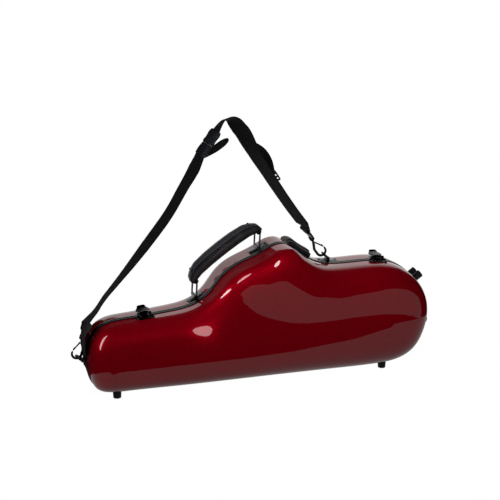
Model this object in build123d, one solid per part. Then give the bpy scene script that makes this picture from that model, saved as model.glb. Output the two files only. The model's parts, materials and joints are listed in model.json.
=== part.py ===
from build123d import *
import math
import os

# Hard shaped case for an alto saxophone, standing on its long edge.
# X runs along the case from the narrow end to the bell end, Z is up, and the lid faces -Y.
# The seam between the two half shells lies in the plane y = 0.

# Overall sizes
case_length = 628.0
case_height = 236.0
stand_height = 10.8
half_depth_narrow = 64.0
half_depth_bell = 84.0
wall = 3.2
flat_share = 0.28
ledge_share = 0.56
rounding_power = 2.4
face_share = 0.62

# Clearances and allowances
seat_gap = 0.3
running_gap = 0.08
overrun = 4.0

# Seam outline and the heart line it shrinks towards, as shares of case length and case height.
# Each row: outline x, outline z, heart x, heart z, and how far the ledge reaches (0 none, 1 full).
outline_shares = [
    (0.0000, 0.254, 0.099, 0.263, 0.0),
    (0.0032, 0.119, 0.099, 0.263, 0.0),
    (0.0175, 0.034, 0.099, 0.263, 0.0),
    (0.0541, 0.002, 0.111, 0.263, 0.0),
    (0.0987, 0.000, 0.142, 0.263, 0.0),
    (0.2389, 0.000, 0.239, 0.263, 0.0),
    (0.4777, 0.000, 0.478, 0.339, 0.0),
    (0.7166, 0.000, 0.701, 0.403, 0.0),
    (0.8439, 0.005, 0.804, 0.403, 0.0),
    (0.8997, 0.024, 0.831, 0.403, 0.0),
    (0.9554, 0.102, 0.847, 0.403, 0.0),
    (0.9873, 0.242, 0.852, 0.403, 0.0),
    (1.0000, 0.415, 0.852, 0.403, 0.0),
    (0.9889, 0.568, 0.850, 0.403, 0.0),
    (0.9554, 0.693, 0.838, 0.403, 0.0),
    (0.8997, 0.781, 0.815, 0.403, 0.0),
    (0.8201, 0.805, 0.785, 0.403, 0.0),
    (0.7404, 0.803, 0.726, 0.411, 0.0),
    (0.6847, 0.822, 0.674, 0.436, 0.0),
    (0.6417, 0.876, 0.632, 0.487, 0.15),
    (0.6051, 0.947, 0.600, 0.538, 0.6),
    (0.5796, 0.994, 0.575, 0.568, 0.92),
    (0.5557, 0.997, 0.553, 0.576, 1.0),
    (0.5064, 0.940, 0.518, 0.534, 1.0),
    (0.4236, 0.843, 0.455, 0.462, 1.0),
    (0.3869, 0.765, 0.427, 0.415, 0.85),
    (0.3535, 0.660, 0.387, 0.343, 0.5),
    (0.3153, 0.590, 0.334, 0.284, 0.2),
    (0.2389, 0.546, 0.242, 0.263, 0.0),
    (0.1115, 0.516, 0.140, 0.263, 0.0),
    (0.0510, 0.487, 0.107, 0.263, 0.0),
    (0.0159, 0.411, 0.099, 0.263, 0.0),
]
# Where the loft has its sections, from the seam to the face, as shares of the half depth.
section_shares = [0.0, 0.17, 0.34, 0.50, 0.64, 0.77, 0.875, 0.95, 0.995]

# Rim profile and seal
rim_width = 3.5
rim_reach = 8.0
rim_proud = 1.0
seal_width = 3.0
seal_depth = 2.0
seal_stand = 0.4

# Lining and nest
lining_thickness = 6.0
foam_gap = 0.3

# Latches, across the seam on the top edge
latch_shares = (0.1640, 0.8599)
latch_base_half = 17.0
latch_base_near = 4.3
latch_base_far = 23.0
latch_plate = 1.8
latch_pivot_back = 8.0
latch_pivot_rise = 6.0
latch_pin_radius = 1.2
latch_barrel_radius = 3.0
latch_ear_width = 3.5
latch_lever_half = 8.5
latch_lever_reach = 16.0
latch_lever_thickness = 2.4
latch_lip_radius = 1.2
latch_lug_wall = 1.2
latch_lug_half = 4.0
latch_bail_radius = 1.0
latch_bail_half = 7.2
latch_bail_front = 2.0
latch_bail_back = 9.5
latch_bail_rise = 3.4
latch_bail_corner = 1.5
keeper_half = 6.5
keeper_near = 4.5
keeper_far = 19.0
keeper_plate = 1.0
keeper_lip_near = 5.2
keeper_lip_width = 2.6
keeper_lip_rise = 1.8

# Handle: two wire rings in brackets, and a padded grip between them
handle_shares = (0.3232, 0.5096)
handle_offset = 20.0
ring_wire = 1.6
ring_half_width = 15.0
ring_height = 28.0
ring_lean = 1.5
ring_corner = 4.0
bracket_half = 19.0
bracket_half_width = 11.0
bracket_plate = 1.6
bracket_corner = 3.0
bracket_rise = 4.8
bracket_wall = 1.6
core_half_width = 9.0
core_thickness = 3.0
core_boss_radius = 3.6
# Grip sections: share of the span between the rings, centre rise, half height, half width
grip_sections = (
    (-0.055, 2.0, 4.6, 9.5),
    (-0.035, 4.0, 8.2, 11.6),
    (0.03, 8.5, 11.0, 12.4),
    (0.12, 13.0, 12.2, 12.8),
    (0.30, 15.5, 12.4, 14.6),
    (0.50, 16.2, 12.4, 15.2),
    (0.70, 15.5, 12.4, 14.6),
    (0.88, 13.0, 12.2, 12.8),
    (0.97, 8.5, 11.0, 12.4),
    (1.035, 4.0, 8.2, 11.6),
    (1.055, 2.0, 4.6, 9.5),
)

# Shoulder corner piece
bumper_shares = (0.5900, 0.6570)
bumper_samples = 9
bumper_lead = 0.35
bumper_rise = 12.0
bumper_near = 4.2
bumper_far = 46.0
bumper_step = 14.0
bumper_step_drop = 3.0
bumper_root = 2.0

# Feet
foot_shares = (0.0732, 0.8678)
foot_offset = 32.0
foot_radius = 7.0
foot_flare = 1.0
foot_seat = 9.0
end_foot_shares = (0.6300, 0.3000)
end_foot_offset = 11.2
end_foot_radius = 7.0
end_foot_length = 17.0

# Bottom hinges
hinge_shares = (0.0955, 0.7962)
hinge_screw_shares = (-0.36, 0.0, 0.36)
hinge_length = 57.0
hinge_leaf_far = 19.0
hinge_leaf = 1.5
hinge_barrel_radius = 2.4
hinge_pin_radius = 1.2
hinge_drop = 3.8
hinge_knuckles = 5
hinge_knuckle_gap = 0.4

# Strap eyes and snap hooks
eye_offset = 18.0
narrow_eye_share = 0.2000
bell_eye_share = 0.7197
eye_plate_halves = (12.0, 19.0)
eye_barrel_half = 5.6
d_ring_radius = 10.0
d_ring_length = 13.5
d_ring_wire = 1.6
d_ring_corner = 2.6
d_ring_round = 9.2
d_ring_leans = (-52.0, -42.0)
hook_leans = (19.0, -36.5)
hook_sides = (1, -1)
hook_wire = 2.2
hook_bow = 8.5
hook_length = 30.0
hook_barrel_radius = 4.6
hook_barrel_length = 9.0
hook_tip_rise = 3.0
hook_shoulder = 11.0
hook_waist = 2.8
stem_depth = 4.4
gate_thickness = 2.6
gate_foot = 20.0
gate_root = 0.8
swivel_stem_radius = 1.6
eye_corner = 3.0
eye_wire = 2.0
eye_half_width = 21.8
eye_height = 12.0
eye_gap = 4.0

# Webbing strap
webbing_width = 38.0
webbing_thickness = 1.8
bend_share = 0.45
buckle_length = 52.0
buckle_width = 46.0
buckle_thickness = 11.0
buckle_split = 0.46
slider_length = 24.0
slider_width = 46.0
slider_thickness = 3.2
slider_bar = 4.0
slider_from = 8
slot_depth = 8.0

# Screws
screw_radius = 2.6
screw_head = 1.0
screw_edge = 3.5
screw_round = 2.6

# Strap routes, chosen by hand, as x and z in the seam plane's directions
left_route = [(0.9, 122.5), (9, 131), (23.4, 146), (36, 166), (61.3, 194), (91.4, 229), (124.2, 269),
              (157.5, 311), (181, 352), (204, 388), (214, 411)]
right_route = [(243, 451), (251, 464), (259.5, 472), (272.5, 471.5), (284, 455.5), (292.5, 445),
               (301.5, 427), (315.5, 402), (334, 375), (352, 347), (370, 320.5), (388.5, 294),
               (411.9, 263.6)]
bulge_route = [(306.5, 423), (315, 418.5), (325, 409.5), (332.5, 397), (336.5, 384.5), (338.2, 373)]
top_tail_route = [(218, 409.5), (236, 417), (247, 424), (257, 431), (265, 437)]
left_tail_route = [(7.6, 132.3), (0.4, 125.6), (-5.6, 117.2), (-6.5, 106), (-7, 95), (-6, 80)]
left_tail_offset = -8.0

parts = {}
places = {}


def keep(name, shape):
    """Store a finished piece under its node name."""
    parts[name] = shape


def half_depth(x):
    """Half depth of the case at a place along it."""
    return half_depth_narrow + (half_depth_bell - half_depth_narrow) * x / case_length


def outline_point(row):
    return (row[0] * case_length, stand_height + row[1] * case_height)


def outline_normals():
    """Outward normals of the seam outline at its points."""
    points = [outline_point(row) for row in outline_shares]
    count = len(points)
    normals = []
    for index in range(count):
        before = points[index - 1]
        after = points[(index + 1) % count]
        dx = after[0] - before[0]
        dz = after[1] - before[1]
        size = math.hypot(dx, dz)
        normals.append((dz / size, -dx / size))
    return normals


normals = outline_normals()


def closed_curve(points):
    """Closed smooth curve whose knots follow the seam outline, so that all sections match."""
    flat = [outline_point(row) for row in outline_shares]
    steps = [math.dist(flat[i], flat[(i + 1) % len(flat)]) for i in range(len(flat))]
    total = sum(steps)
    knots = [sum(steps[:i]) / total for i in range(len(flat) + 1)]
    return Wire([Edge.make_spline([Vector(*p) for p in points], periodic=True, parameters=knots)])


def section_points(share, inset, side):
    """Points of one loft section at a share of the half depth, moved in by an inset."""
    points = []
    for row, normal in zip(outline_shares, normals):
        x, z = outline_point(row)
        flat = flat_share + (ledge_share - flat_share) * row[4]
        rise = max(0.0, (share - flat) / (1.0 - flat))
        pull = face_share * (1.0 - (1.0 - rise ** rounding_power) ** (1.0 / rounding_power))
        x -= normal[0] * inset
        z -= normal[1] * inset
        heart_x = row[2] * case_length
        heart_z = stand_height + row[3] * case_height
        x += (heart_x - x) * pull
        z += (heart_z - z) * pull
        points.append((x, side * share * (half_depth(x) - inset), z))
    return points


def bowl(inset, side):
    """Solid half of the case form, from the seam plane to its face, moved in by an inset."""
    return Solid.make_loft([closed_curve(section_points(share, inset, side)) for share in section_shares])


def offset_curve(offset, y):
    """Seam outline moved out by an offset, in a plane across Y."""
    points = []
    for row, normal in zip(outline_shares, normals):
        x, z = outline_point(row)
        points.append((x + normal[0] * offset, y, z + normal[1] * offset))
    return closed_curve(points)


def band(outside, inside, y_from, y_to):
    """Ring along the seam outline between two offsets and two planes."""
    face = Face(offset_curve(outside, y_from), [offset_curve(inside, y_from)])
    return Solid.extrude(face, Vector(0, y_to - y_from, 0))


def slab(y_from, y_to):
    """Wide block between two planes across Y."""
    span = case_length + 2 * case_height
    return Pos(case_length / 2, (y_from + y_to) / 2, case_height / 2) * Box(span, y_to - y_from, span)


seam_edges = offset_curve(0.0, 0.0).edges()


def seam_frame(value, axis, upper):
    """Plane on the seam outline where it reaches a value along an axis; its Z is outward."""
    count = 600
    best = None
    for edge in seam_edges:
        for index in range(count):
            u = index / count
            v = (index + 1) / count
            a = edge.position_at(u)
            b = edge.position_at(v)
            first = a.X if axis == "x" else a.Z
            second = b.X if axis == "x" else b.Z
            if (first - value) * (second - value) > 0 or first == second:
                continue
            other = a.Z if axis == "x" else a.X
            if best is None or (other > best[0]) == upper:
                best = (other, edge, u + (v - u) * (value - first) / (second - first))
    point = best[1].position_at(best[2])
    along = best[1].tangent_at(best[2])
    outward = Vector(along.Z, 0, -along.X).normalized()
    return Plane(origin=point, x_dir=Vector(0, 1, 0).cross(outward), z_dir=outward)


def block(frame, u, v, h):
    """Box in a local frame, each argument a pair of limits."""
    size = Box(u[1] - u[0], v[1] - v[0], h[1] - h[0])
    return frame.location * Pos((u[0] + u[1]) / 2, (v[0] + v[1]) / 2, (h[0] + h[1]) / 2) * size


def rod(start, end, radius):
    """Round bar between two points."""
    a = Vector(*start)
    b = Vector(*end)
    return Solid.make_cylinder(radius, (b - a).length, Plane(origin=a, z_dir=b - a))


def wire_along(points, radius, corners, closed=False):
    """Round wire along a polyline with rounded corners."""
    path = FilletPolyline(*points, radius=corners, close=closed).wire()
    start = path.position_at(0)
    along = path.tangent_at(0)
    return Solid.sweep(Face(Wire.make_circle(radius, Plane(origin=start, z_dir=along))), path)


def one(shape):
    """The main solid of a result."""
    return max(shape.solids(), key=lambda solid: solid.volume)


def group(shapes):
    """Several separate solids in one node."""
    solids = []
    for shape in shapes:
        solids.extend(shape.solids())
    return Compound(children=solids)


def screw(frame, u, v, h):
    """Dome screw whose head rests at a height of a local frame."""
    head = Pos(u, v, h + screw_head / 2) * Cylinder(screw_radius, screw_head)
    return frame.location * head


# Shells
front_outer = bowl(0.0, -1)
back_outer = bowl(0.0, 1)
front_shell = front_outer - bowl(wall, -1) - slab(-rim_width, rim_width)
back_shell = back_outer - bowl(wall, 1) - slab(-rim_width, rim_width)
keep("front_shell", one(front_shell))
keep("back_shell", one(back_shell))
whole_form = [front_outer, back_outer]

# Rims and the seal between them
seal_middle = rim_reach / 2 - rim_proud / 2
front_rim = band(rim_proud, -rim_reach, -rim_width, -seal_stand - running_gap)
back_rim = band(rim_proud, -rim_reach, 0.0, rim_width)
groove = band(-seal_middle + seal_width / 2, -seal_middle - seal_width / 2, 0.0, seal_depth)
seal = band(-seal_middle + seal_width / 2, -seal_middle - seal_width / 2, -seal_stand, seal_depth)
keep("front_rim", one(front_rim))
keep("back_rim", one(back_rim - groove))
keep("seam_seal", one(seal))


def lining(side):
    """Plush-covered foam that lines one shell, from its rim to its face."""
    outer = bowl(wall + foam_gap, side)
    inner = bowl(wall + foam_gap + lining_thickness, side)
    return one(outer - inner - slab(-rim_width, rim_width))


keep("front_lining", lining(-1))
keep("back_lining", lining(1))

# Foam nest in the back shell, and the pads in the lid that press on the instrument
nest_inset = wall + 2 * foam_gap + lining_thickness
nest_room = bowl(nest_inset, 1) - slab(-rim_width, rim_width)
pad_room = bowl(nest_inset, -1) - slab(-rim_width, rim_width)
tube_share = 0.25
bell_share = 0.60
bow_share = 0.403
pocket_top_share = 0.55
tube_height = stand_height + tube_share * case_height
bell_height = stand_height + bell_share * case_height
bow_height = stand_height + bow_share * case_height
tube_radius_narrow = 22.0
tube_radius_wide = 36.0
bell_radius = 52.0
bow_radius = 40.0
cradle_narrow_shares = (0.0350, 0.1592)
cradle_middle_shares = (0.2707, 0.3424)
cradle_bell_shares = (0.4777, 0.5605)
cradle_bow_shares = (0.8917, 0.9793)
pocket_shares = (0.3694, 0.4650)
pocket_floor = 14.0
pocket_wall = 8.0
pad_tube_shares = (0.1752, 0.3662)
pad_tube_heights_share = (0.12, 0.40)
pad_bow_shares = (0.6369, 0.8599)
pad_bow_heights_share = (0.22, 0.60)
pad_thickness = 22.0


def cradle(shares, pockets):
    """Foam block across the nest with round channels for the instrument."""
    limits = [share * case_length for share in shares]
    middle = (limits[0] + limits[1]) / 2
    wide = Pos(middle, 0, stand_height) * Box(limits[1] - limits[0], 4 * half_depth_bell, 4 * case_height)
    piece = nest_room & wide
    for height, radius in pockets:
        start = (limits[0] - overrun, 0, height)
        end = (limits[1] + overrun, 0, height)
        piece = piece - rod(start, end, radius)
    return one(piece)


keep("neck_end_cradle", cradle(cradle_narrow_shares, [(tube_height, tube_radius_narrow)]))
keep("middle_cradle", cradle(cradle_middle_shares, [(tube_height, tube_radius_narrow)]))
bell_pockets = [(tube_height, tube_radius_wide), (bell_height, bell_radius)]
keep("bell_cradle", cradle(cradle_bell_shares, bell_pockets))
keep("bow_cradle", cradle(cradle_bow_shares, [(bow_height, bow_radius)]))
places["cradles"] = (tube_height, bell_height)


def pocket():
    """Foam block under the slope with the pocket for neck and mouthpiece."""
    middle = (pocket_shares[0] + pocket_shares[1]) / 2 * case_length
    width = (pocket_shares[1] - pocket_shares[0]) * case_length
    low = tube_height + tube_radius_wide
    tall = case_height
    room = Pos(middle, 0, low + tall / 2) * Box(width, 4 * half_depth_bell, tall)
    floor = half_depth(middle) - nest_inset - pocket_floor
    hollow_low = low + pocket_wall
    hollow_high = stand_height + pocket_top_share * case_height
    hollow = Pos(middle, floor / 2, (hollow_low + hollow_high) / 2) * Box(
        width - 2 * pocket_wall, floor, hollow_high - hollow_low)
    places["pocket"] = (middle, width - 2 * pocket_wall, floor, hollow_low, hollow_high)
    return one((nest_room & room) - hollow)


keep("accessory_block", pocket())


def pad(shares, height_shares):
    """Foam pad on the lid's face."""
    limits = [share * case_length for share in shares]
    middle = (limits[0] + limits[1]) / 2
    face = half_depth(limits[0]) - nest_inset
    low = stand_height + height_shares[0] * case_height
    high = stand_height + height_shares[1] * case_height
    room = Pos(middle, -face, (low + high) / 2) * Box(
        limits[1] - limits[0], 2 * pad_thickness, high - low)
    return one(pad_room & room)


keep("lid_pad_tube", pad(pad_tube_shares, pad_tube_heights_share))
keep("lid_pad_bow", pad(pad_bow_shares, pad_bow_heights_share))


def seat(shape):
    """Cut a fitting so that it rests on the outside of the case form."""
    for form in whole_form:
        shape = shape - form
    return shape


# Feet under the shells and on the bell end
def bottom_feet(side):
    feet = []
    for share in foot_shares:
        x = share * case_length
        top = stand_height + foot_seat
        foot = Pos(x, side * foot_offset, top / 2) * Cone(foot_radius, foot_radius + foot_flare, top)
        feet.append(one(seat(foot)))
    return group(feet)


def end_feet(side):
    feet = []
    for share in end_foot_shares:
        frame = seam_frame(stand_height + share * case_height, "z", True)
        shift = Pos(0, side * end_foot_offset, (end_foot_length - end_foot_radius) / 2)
        body = Cylinder(end_foot_radius, end_foot_length + end_foot_radius)
        feet.append(one(seat(frame.location * shift * body)))
    return group(feet)


for name, side in (("front", -1), ("back", 1)):
    keep(name + "_feet", bottom_feet(side))
    keep(name + "_end_feet", end_feet(side))

# Bottom hinges: leaves with interlocking knuckles and a pin each
hinge_axis = stand_height - hinge_drop
hinge_places = [share * case_length for share in hinge_shares]


def hinge_leaf_piece(x, side):
    """One hinge leaf with its share of the knuckles."""
    start = x - hinge_length / 2
    pitch = hinge_length / hinge_knuckles
    plate_top = stand_height
    neck = hinge_barrel_radius - hinge_leaf / 2
    near = rim_width + seat_gap
    plate = Pos(x, side * (near + hinge_leaf_far) / 2, plate_top - hinge_leaf / 2) * Box(
        hinge_length, hinge_leaf_far - near, hinge_leaf)
    shape = plate
    for index in range(hinge_knuckles):
        if (index % 2 == 0) != (side > 0):
            continue
        low = start + index * pitch + (hinge_knuckle_gap if index else 0)
        high = start + (index + 1) * pitch
        middle = (low + high) / 2
        barrel = rod((low, 0, hinge_axis), (high, 0, hinge_axis), hinge_barrel_radius)
        arm_far = near + hinge_leaf
        arm = Pos(middle, side * arm_far / 2, hinge_axis - neck / 2) * Box(high - low, arm_far, hinge_leaf)
        riser_low = hinge_axis - neck / 2 - hinge_leaf / 2
        riser = Pos(middle, side * (near + arm_far) / 2, (riser_low + plate_top) / 2) * Box(
            high - low, hinge_leaf, plate_top - riser_low)
        shape = shape + barrel + arm + riser
    bore = rod((start - overrun, 0, hinge_axis), (start + hinge_length + overrun, 0, hinge_axis),
               hinge_pin_radius + running_gap)
    return one(seat(shape - bore))


for label, x in zip(("narrow", "bell"), hinge_places):
    keep(label + "_hinge_front_leaf", hinge_leaf_piece(x, -1))
    keep(label + "_hinge_back_leaf", hinge_leaf_piece(x, 1))
keep("hinge_pins", group([
    rod((x - hinge_length / 2, 0, hinge_axis), (x + hinge_length / 2, 0, hinge_axis), hinge_pin_radius)
    for x in hinge_places]))
places["hinge"] = (case_length / 2, 0.0, hinge_axis)

front_screws = []
back_screws = []
for x in hinge_places:
    for side, screws in ((-1, front_screws), (1, back_screws)):
        for share in hinge_screw_shares:
            frame = Plane(origin=(x + share * hinge_length, 0, stand_height - hinge_leaf),
                          x_dir=(1, 0, 0), z_dir=(0, 0, -1))
            screws.append(screw(frame, 0, -side * (hinge_leaf_far + rim_width) / 2, 0))


def latch(label, x):
    """Toggle latch: base and lever on the lid, bail on the lever, keeper on the back shell."""
    frame = seam_frame(x, "x", True)
    at = frame.location
    base = block(frame, (-latch_base_half, latch_base_half), (-latch_base_far, -latch_base_near),
                 (-overrun, latch_plate))
    base = fillet(base.edges().filter_by(Axis(frame.origin, frame.z_dir)), screw_round)
    ear_in = latch_lever_half + seat_gap
    ear_out = ear_in + latch_ear_width
    pivot = (-latch_pivot_back, latch_pivot_rise)
    for sign in (-1, 1):
        ear = block(frame, sorted((sign * ear_in, sign * ear_out)),
                    (pivot[0] - latch_barrel_radius, pivot[0] + latch_barrel_radius), (0, pivot[1]))
        base = base + ear + at * Pos(sign * (ear_in + ear_out) / 2, *pivot) * Rot(0, 90, 0) * Cylinder(
            latch_barrel_radius, latch_ear_width)
    bore = Rot(0, 90, 0) * Cylinder(latch_pin_radius + running_gap, 4 * latch_base_half)
    pin = Rot(0, 90, 0) * Cylinder(latch_pin_radius, 2 * ear_out)
    keep(label + "_latch_base", one(seat(base - at * Pos(0, *pivot) * bore)))
    keep(label + "_latch_pin", at * Pos(0, *pivot) * pin)
    # Lever over the seam, with the lug that carries the bail
    lever_low = pivot[1] + latch_barrel_radius - latch_lever_thickness
    lever = block(frame, (-latch_lever_half, latch_lever_half), (pivot[0], latch_lever_reach),
                  (lever_low, lever_low + latch_lever_thickness))
    far = lever.edges().filter_by(Axis(frame.origin, frame.z_dir)).sort_by(Axis.Y)[-2:]
    lever = fillet(far, latch_lever_half - seat_gap)
    lip = at * Pos(0, latch_lever_reach - latch_lever_thickness, lever_low + latch_lever_thickness) * Rot(
        0, 90, 0) * Cylinder(latch_lip_radius, latch_lever_half)
    barrel = at * Pos(0, *pivot) * Rot(0, 90, 0) * Cylinder(latch_barrel_radius, 2 * latch_lever_half)
    bail_hole = (-latch_bail_front, latch_bail_rise)
    wall_round = latch_bail_radius + latch_lug_wall
    lug = block(frame, (-latch_lug_half, latch_lug_half),
                (bail_hole[0] - wall_round, bail_hole[0] + wall_round), (bail_hole[1], lever_low + seat_gap))
    lug_round = at * Pos(0, *bail_hole) * Rot(0, 90, 0) * Cylinder(wall_round, 2 * latch_lug_half)
    hole = at * Pos(0, *bail_hole) * Rot(0, 90, 0) * Cylinder(
        latch_bail_radius + running_gap, 4 * latch_lug_half)
    lever = lever + lip + barrel + lug + lug_round - hole - at * Pos(0, *pivot) * bore
    keep(label + "_latch_lever", one(lever))
    corners = [(-latch_bail_half, -latch_bail_front), (latch_bail_half, -latch_bail_front),
               (latch_bail_half, latch_bail_back), (-latch_bail_half, latch_bail_back)]
    start = [(0, -latch_bail_front)] + corners[1:] + corners[:1]
    points = [frame.from_local_coords(Vector(u, v, latch_bail_rise)) for u, v in start]
    bail = wire_along(points, latch_bail_radius,
                      [0] + [latch_bail_corner] * (len(points) - 1), closed=True)
    keep(label + "_latch_bail", bail)
    # Keeper on the back shell
    keeper = block(frame, (-keeper_half, keeper_half), (keeper_near, keeper_far), (-overrun, keeper_plate))
    lip = block(frame, (-keeper_half + latch_bail_radius, keeper_half - latch_bail_radius),
                (keeper_lip_near, keeper_lip_near + keeper_lip_width), (0, keeper_lip_rise))
    keep(label + "_latch_keeper", one(seat(keeper + lip)))
    back_screws.append(screw(frame, 0, (keeper_lip_near + keeper_lip_width + keeper_far) / 2, keeper_plate))
    for sign in (-1, 1):
        front_screws.append(screw(frame, sign * (latch_base_half - screw_edge),
                                  screw_edge - latch_base_far, latch_plate))
    places[label + "_lever"] = frame.from_local_coords(Vector(0, *pivot))
    places[label + "_bail"] = frame.from_local_coords(Vector(0, *bail_hole))
    places[label + "_latch_axis"] = frame.x_dir


for label, share in zip(("narrow", "bell"), latch_shares):
    latch(label, share * case_length)


def ring_bracket(frame, offset, plate_half, barrel_half):
    """Long plate with a barrel that holds the straight bar of a ring."""
    plate = block(frame, (-plate_half, plate_half),
                  (offset - bracket_half_width, offset + bracket_half_width), (-overrun, bracket_plate))
    plate = fillet(plate.edges().filter_by(Axis(frame.origin, frame.z_dir)), bracket_corner)
    outer = ring_wire + running_gap + bracket_wall
    at = frame.location * Pos(0, offset, bracket_rise)
    barrel = at * Rot(90, 0, 0) * Cylinder(outer, 2 * barrel_half)
    web = block(frame, (-outer, outer), (offset - barrel_half, offset + barrel_half),
                (0, bracket_rise))
    bore = at * Rot(90, 0, 0) * Cylinder(ring_wire + running_gap, 4 * bracket_half_width)
    for sign in (-1, 1):
        back_screws.append(screw(frame, sign * (plate_half - screw_edge), offset, bracket_plate))
    return one(seat(plate + web + barrel - bore)), frame.from_local_coords(Vector(0, offset, bracket_rise))


# Handle rings and grip
ring_feet = []
for label, share in zip(("narrow", "bell"), handle_shares):
    frame = seam_frame(share * case_length, "x", True)
    piece, foot = ring_bracket(frame, handle_offset, bracket_half, bracket_half_width)
    keep(label + "_handle_bracket", piece)
    ring_feet.append(foot)
ring_tops = [foot + Vector(ring_lean, 0, ring_height) for foot in ring_feet]
for label, foot, top in zip(("narrow", "bell"), ring_feet, ring_tops):
    side = Vector(0, ring_half_width, 0)
    loop = [foot, foot + side, top + side, top - side, foot - side]
    keep(label + "_handle_ring",
         wire_along(loop, ring_wire, [0] + [ring_corner] * (len(loop) - 1), closed=True))
places["ring_feet"] = ring_feet
places["ring_tops"] = ring_tops
span = ring_tops[1] - ring_tops[0]
grip_frame = Plane(origin=ring_tops[0], x_dir=span, z_dir=span.cross(Vector(0, 1, 0)))


def grip_core():
    """Spring steel strip with a boss at each end that turns on the ring's top bar."""
    rise = core_boss_radius - core_thickness / 2
    strip = block(grip_frame, (0, span.length), (-core_half_width, core_half_width),
                  (rise - core_thickness / 2, rise + core_thickness / 2))
    for place in (0, span.length):
        at = grip_frame.location * Pos(place, 0, 0) * Rot(90, 0, 0)
        strip = strip + at * Cylinder(core_boss_radius, 2 * core_half_width)
    for place in (0, span.length):
        at = grip_frame.location * Pos(place, 0, 0) * Rot(90, 0, 0)
        strip = strip - at * Cylinder(ring_wire + running_gap, 4 * core_half_width)
    return one(strip)


def grip_pad(core):
    """Padded leather grip, a loft of rounded sections that arches up between the rings."""
    wires = []
    for share, rise, half_height, half_width in grip_sections:
        plane = Plane(origin=grip_frame.from_local_coords(Vector(share * span.length, 0, rise)),
                      x_dir=(0, 1, 0), z_dir=grip_frame.x_dir)
        wires.append(Wire.make_ellipse(half_width, half_height, plane))
    pad = Solid.make_loft(wires)
    for place in (0, span.length):
        at = grip_frame.location * Pos(place, 0, 0) * Rot(90, 0, 0)
        pad = pad - at * Cylinder(core_boss_radius + seat_gap, 4 * ring_half_width)
        slot = Pos(0, 0, -core_boss_radius * 2) * Box(
            2 * core_boss_radius + 2 * seat_gap, 4 * ring_half_width, 4 * core_boss_radius)
        pad = pad - grip_frame.location * Pos(place, 0, 0) * slot
    return one(pad - core)


core_piece = grip_core()
keep("grip_core", core_piece)
keep("grip_pad", grip_pad(core_piece))


def bumper_layer(rise, y_from, y_to):
    """Curved bar over the shoulder with a rounded lead at its left end."""
    low, high = bumper_shares
    top = []
    root = []
    for index in range(bumper_samples):
        share = index / (bumper_samples - 1)
        frame = seam_frame((low + (high - low) * share) * case_length, "x", True)
        lead = min(1.0, bumper_lead + (1.0 - bumper_lead) * share * (bumper_samples - 1))
        top.append(frame.from_local_coords(Vector(0, y_from, rise * lead)))
        root.append(frame.from_local_coords(Vector(0, y_from, -bumper_root)))
    profile = Wire([Edge.make_spline(top), Edge.make_line(top[-1], root[-1]),
                    Edge.make_spline(root[::-1]), Edge.make_line(root[0], top[0])])
    return Solid.extrude(Face(profile), Vector(0, y_to - y_from, 0))


def bumper():
    """Moulded corner piece that follows the shoulder of the back shell, stepped toward the seam."""
    lower = bumper_layer(bumper_rise - bumper_step_drop, bumper_near, bumper_step)
    upper = bumper_layer(bumper_rise, bumper_step, bumper_far)
    return one(seat(lower + upper))


keep("shoulder_bumper", bumper())


def d_ring_piece(bar, lean):
    """D-ring with its straight bar along Y; it stands at an angle from vertical."""
    up = Vector(math.sin(math.radians(lean)), 0, math.cos(math.radians(lean)))
    side = Vector(0, d_ring_radius, 0)
    tip = bar + up * d_ring_length
    loop = [bar, bar + side, tip + side, tip - side, bar - side]
    corners = [0, d_ring_corner, d_ring_round, d_ring_round, d_ring_corner]
    ring = wire_along(loop, d_ring_wire, corners, closed=True)
    return ring, tip


def snap_hook(label, tip, lean, hand):
    """Swivel snap hook: bow, sprung gate, barrel, and the eye that holds the webbing."""
    up = Vector(math.sin(math.radians(lean)), 0, math.cos(math.radians(lean)))
    side = Vector(up.Z, 0, -up.X) * hand
    inner = hook_bow - hook_wire
    centre = tip + up * (inner - d_ring_wire - seat_gap)
    bend = hook_bow - running_gap
    spine = centre + up * (hook_length - hook_bow) + side * hook_waist
    points = [centre + up * hook_length, spine, centre + up * hook_shoulder + side * hook_bow,
              centre - up * hook_bow + side * hook_bow, centre - up * hook_bow - side * hook_bow,
              centre + up * hook_tip_rise - side * hook_bow]
    body = wire_along(points, hook_wire, [hook_wire, 2 * hook_wire, bend, bend])
    barrel_low = centre + up * (hook_length - hook_wire)
    barrel_high = barrel_low + up * hook_barrel_length
    barrel = rod(barrel_low, barrel_high, hook_barrel_radius)
    stem_hole = rod(barrel_low + up * stem_depth, barrel_high + up * overrun,
                    swivel_stem_radius + running_gap)
    # Gate between the tip and the spine, turning on a small pin through the spine's root
    gate_top = centre + up * gate_foot - side * gate_root
    gate_low = centre + up * (hook_tip_rise + gate_thickness / 2 + seat_gap) - side * hook_bow
    ear = rod(gate_top - Vector(0, hook_wire, 0), gate_top + Vector(0, hook_wire, 0), gate_thickness / 2)
    gate = rod(gate_top, gate_low, gate_thickness / 2) + ear
    keep(label + "_hook_body", one(body + barrel - stem_hole))
    keep(label + "_hook_gate", one(gate))
    stem_top = barrel_high + up * eye_gap
    stem = rod(barrel_low + up * (stem_depth + seat_gap), stem_top, swivel_stem_radius)
    across = Vector(0, eye_half_width, 0)
    eye_top = stem_top + up * eye_height
    loop = [stem_top, stem_top + across, eye_top + across, eye_top - across, stem_top - across]
    eye = wire_along(loop, eye_wire, [0] + [eye_corner] * (len(loop) - 1), closed=True)
    keep(label + "_swivel_eye", one(eye + stem))
    places[label + "_gate"] = gate_top
    places[label + "_swivel"] = (barrel_high, up)
    places[label + "_eye_top"] = eye_top
    return eye_top


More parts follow.
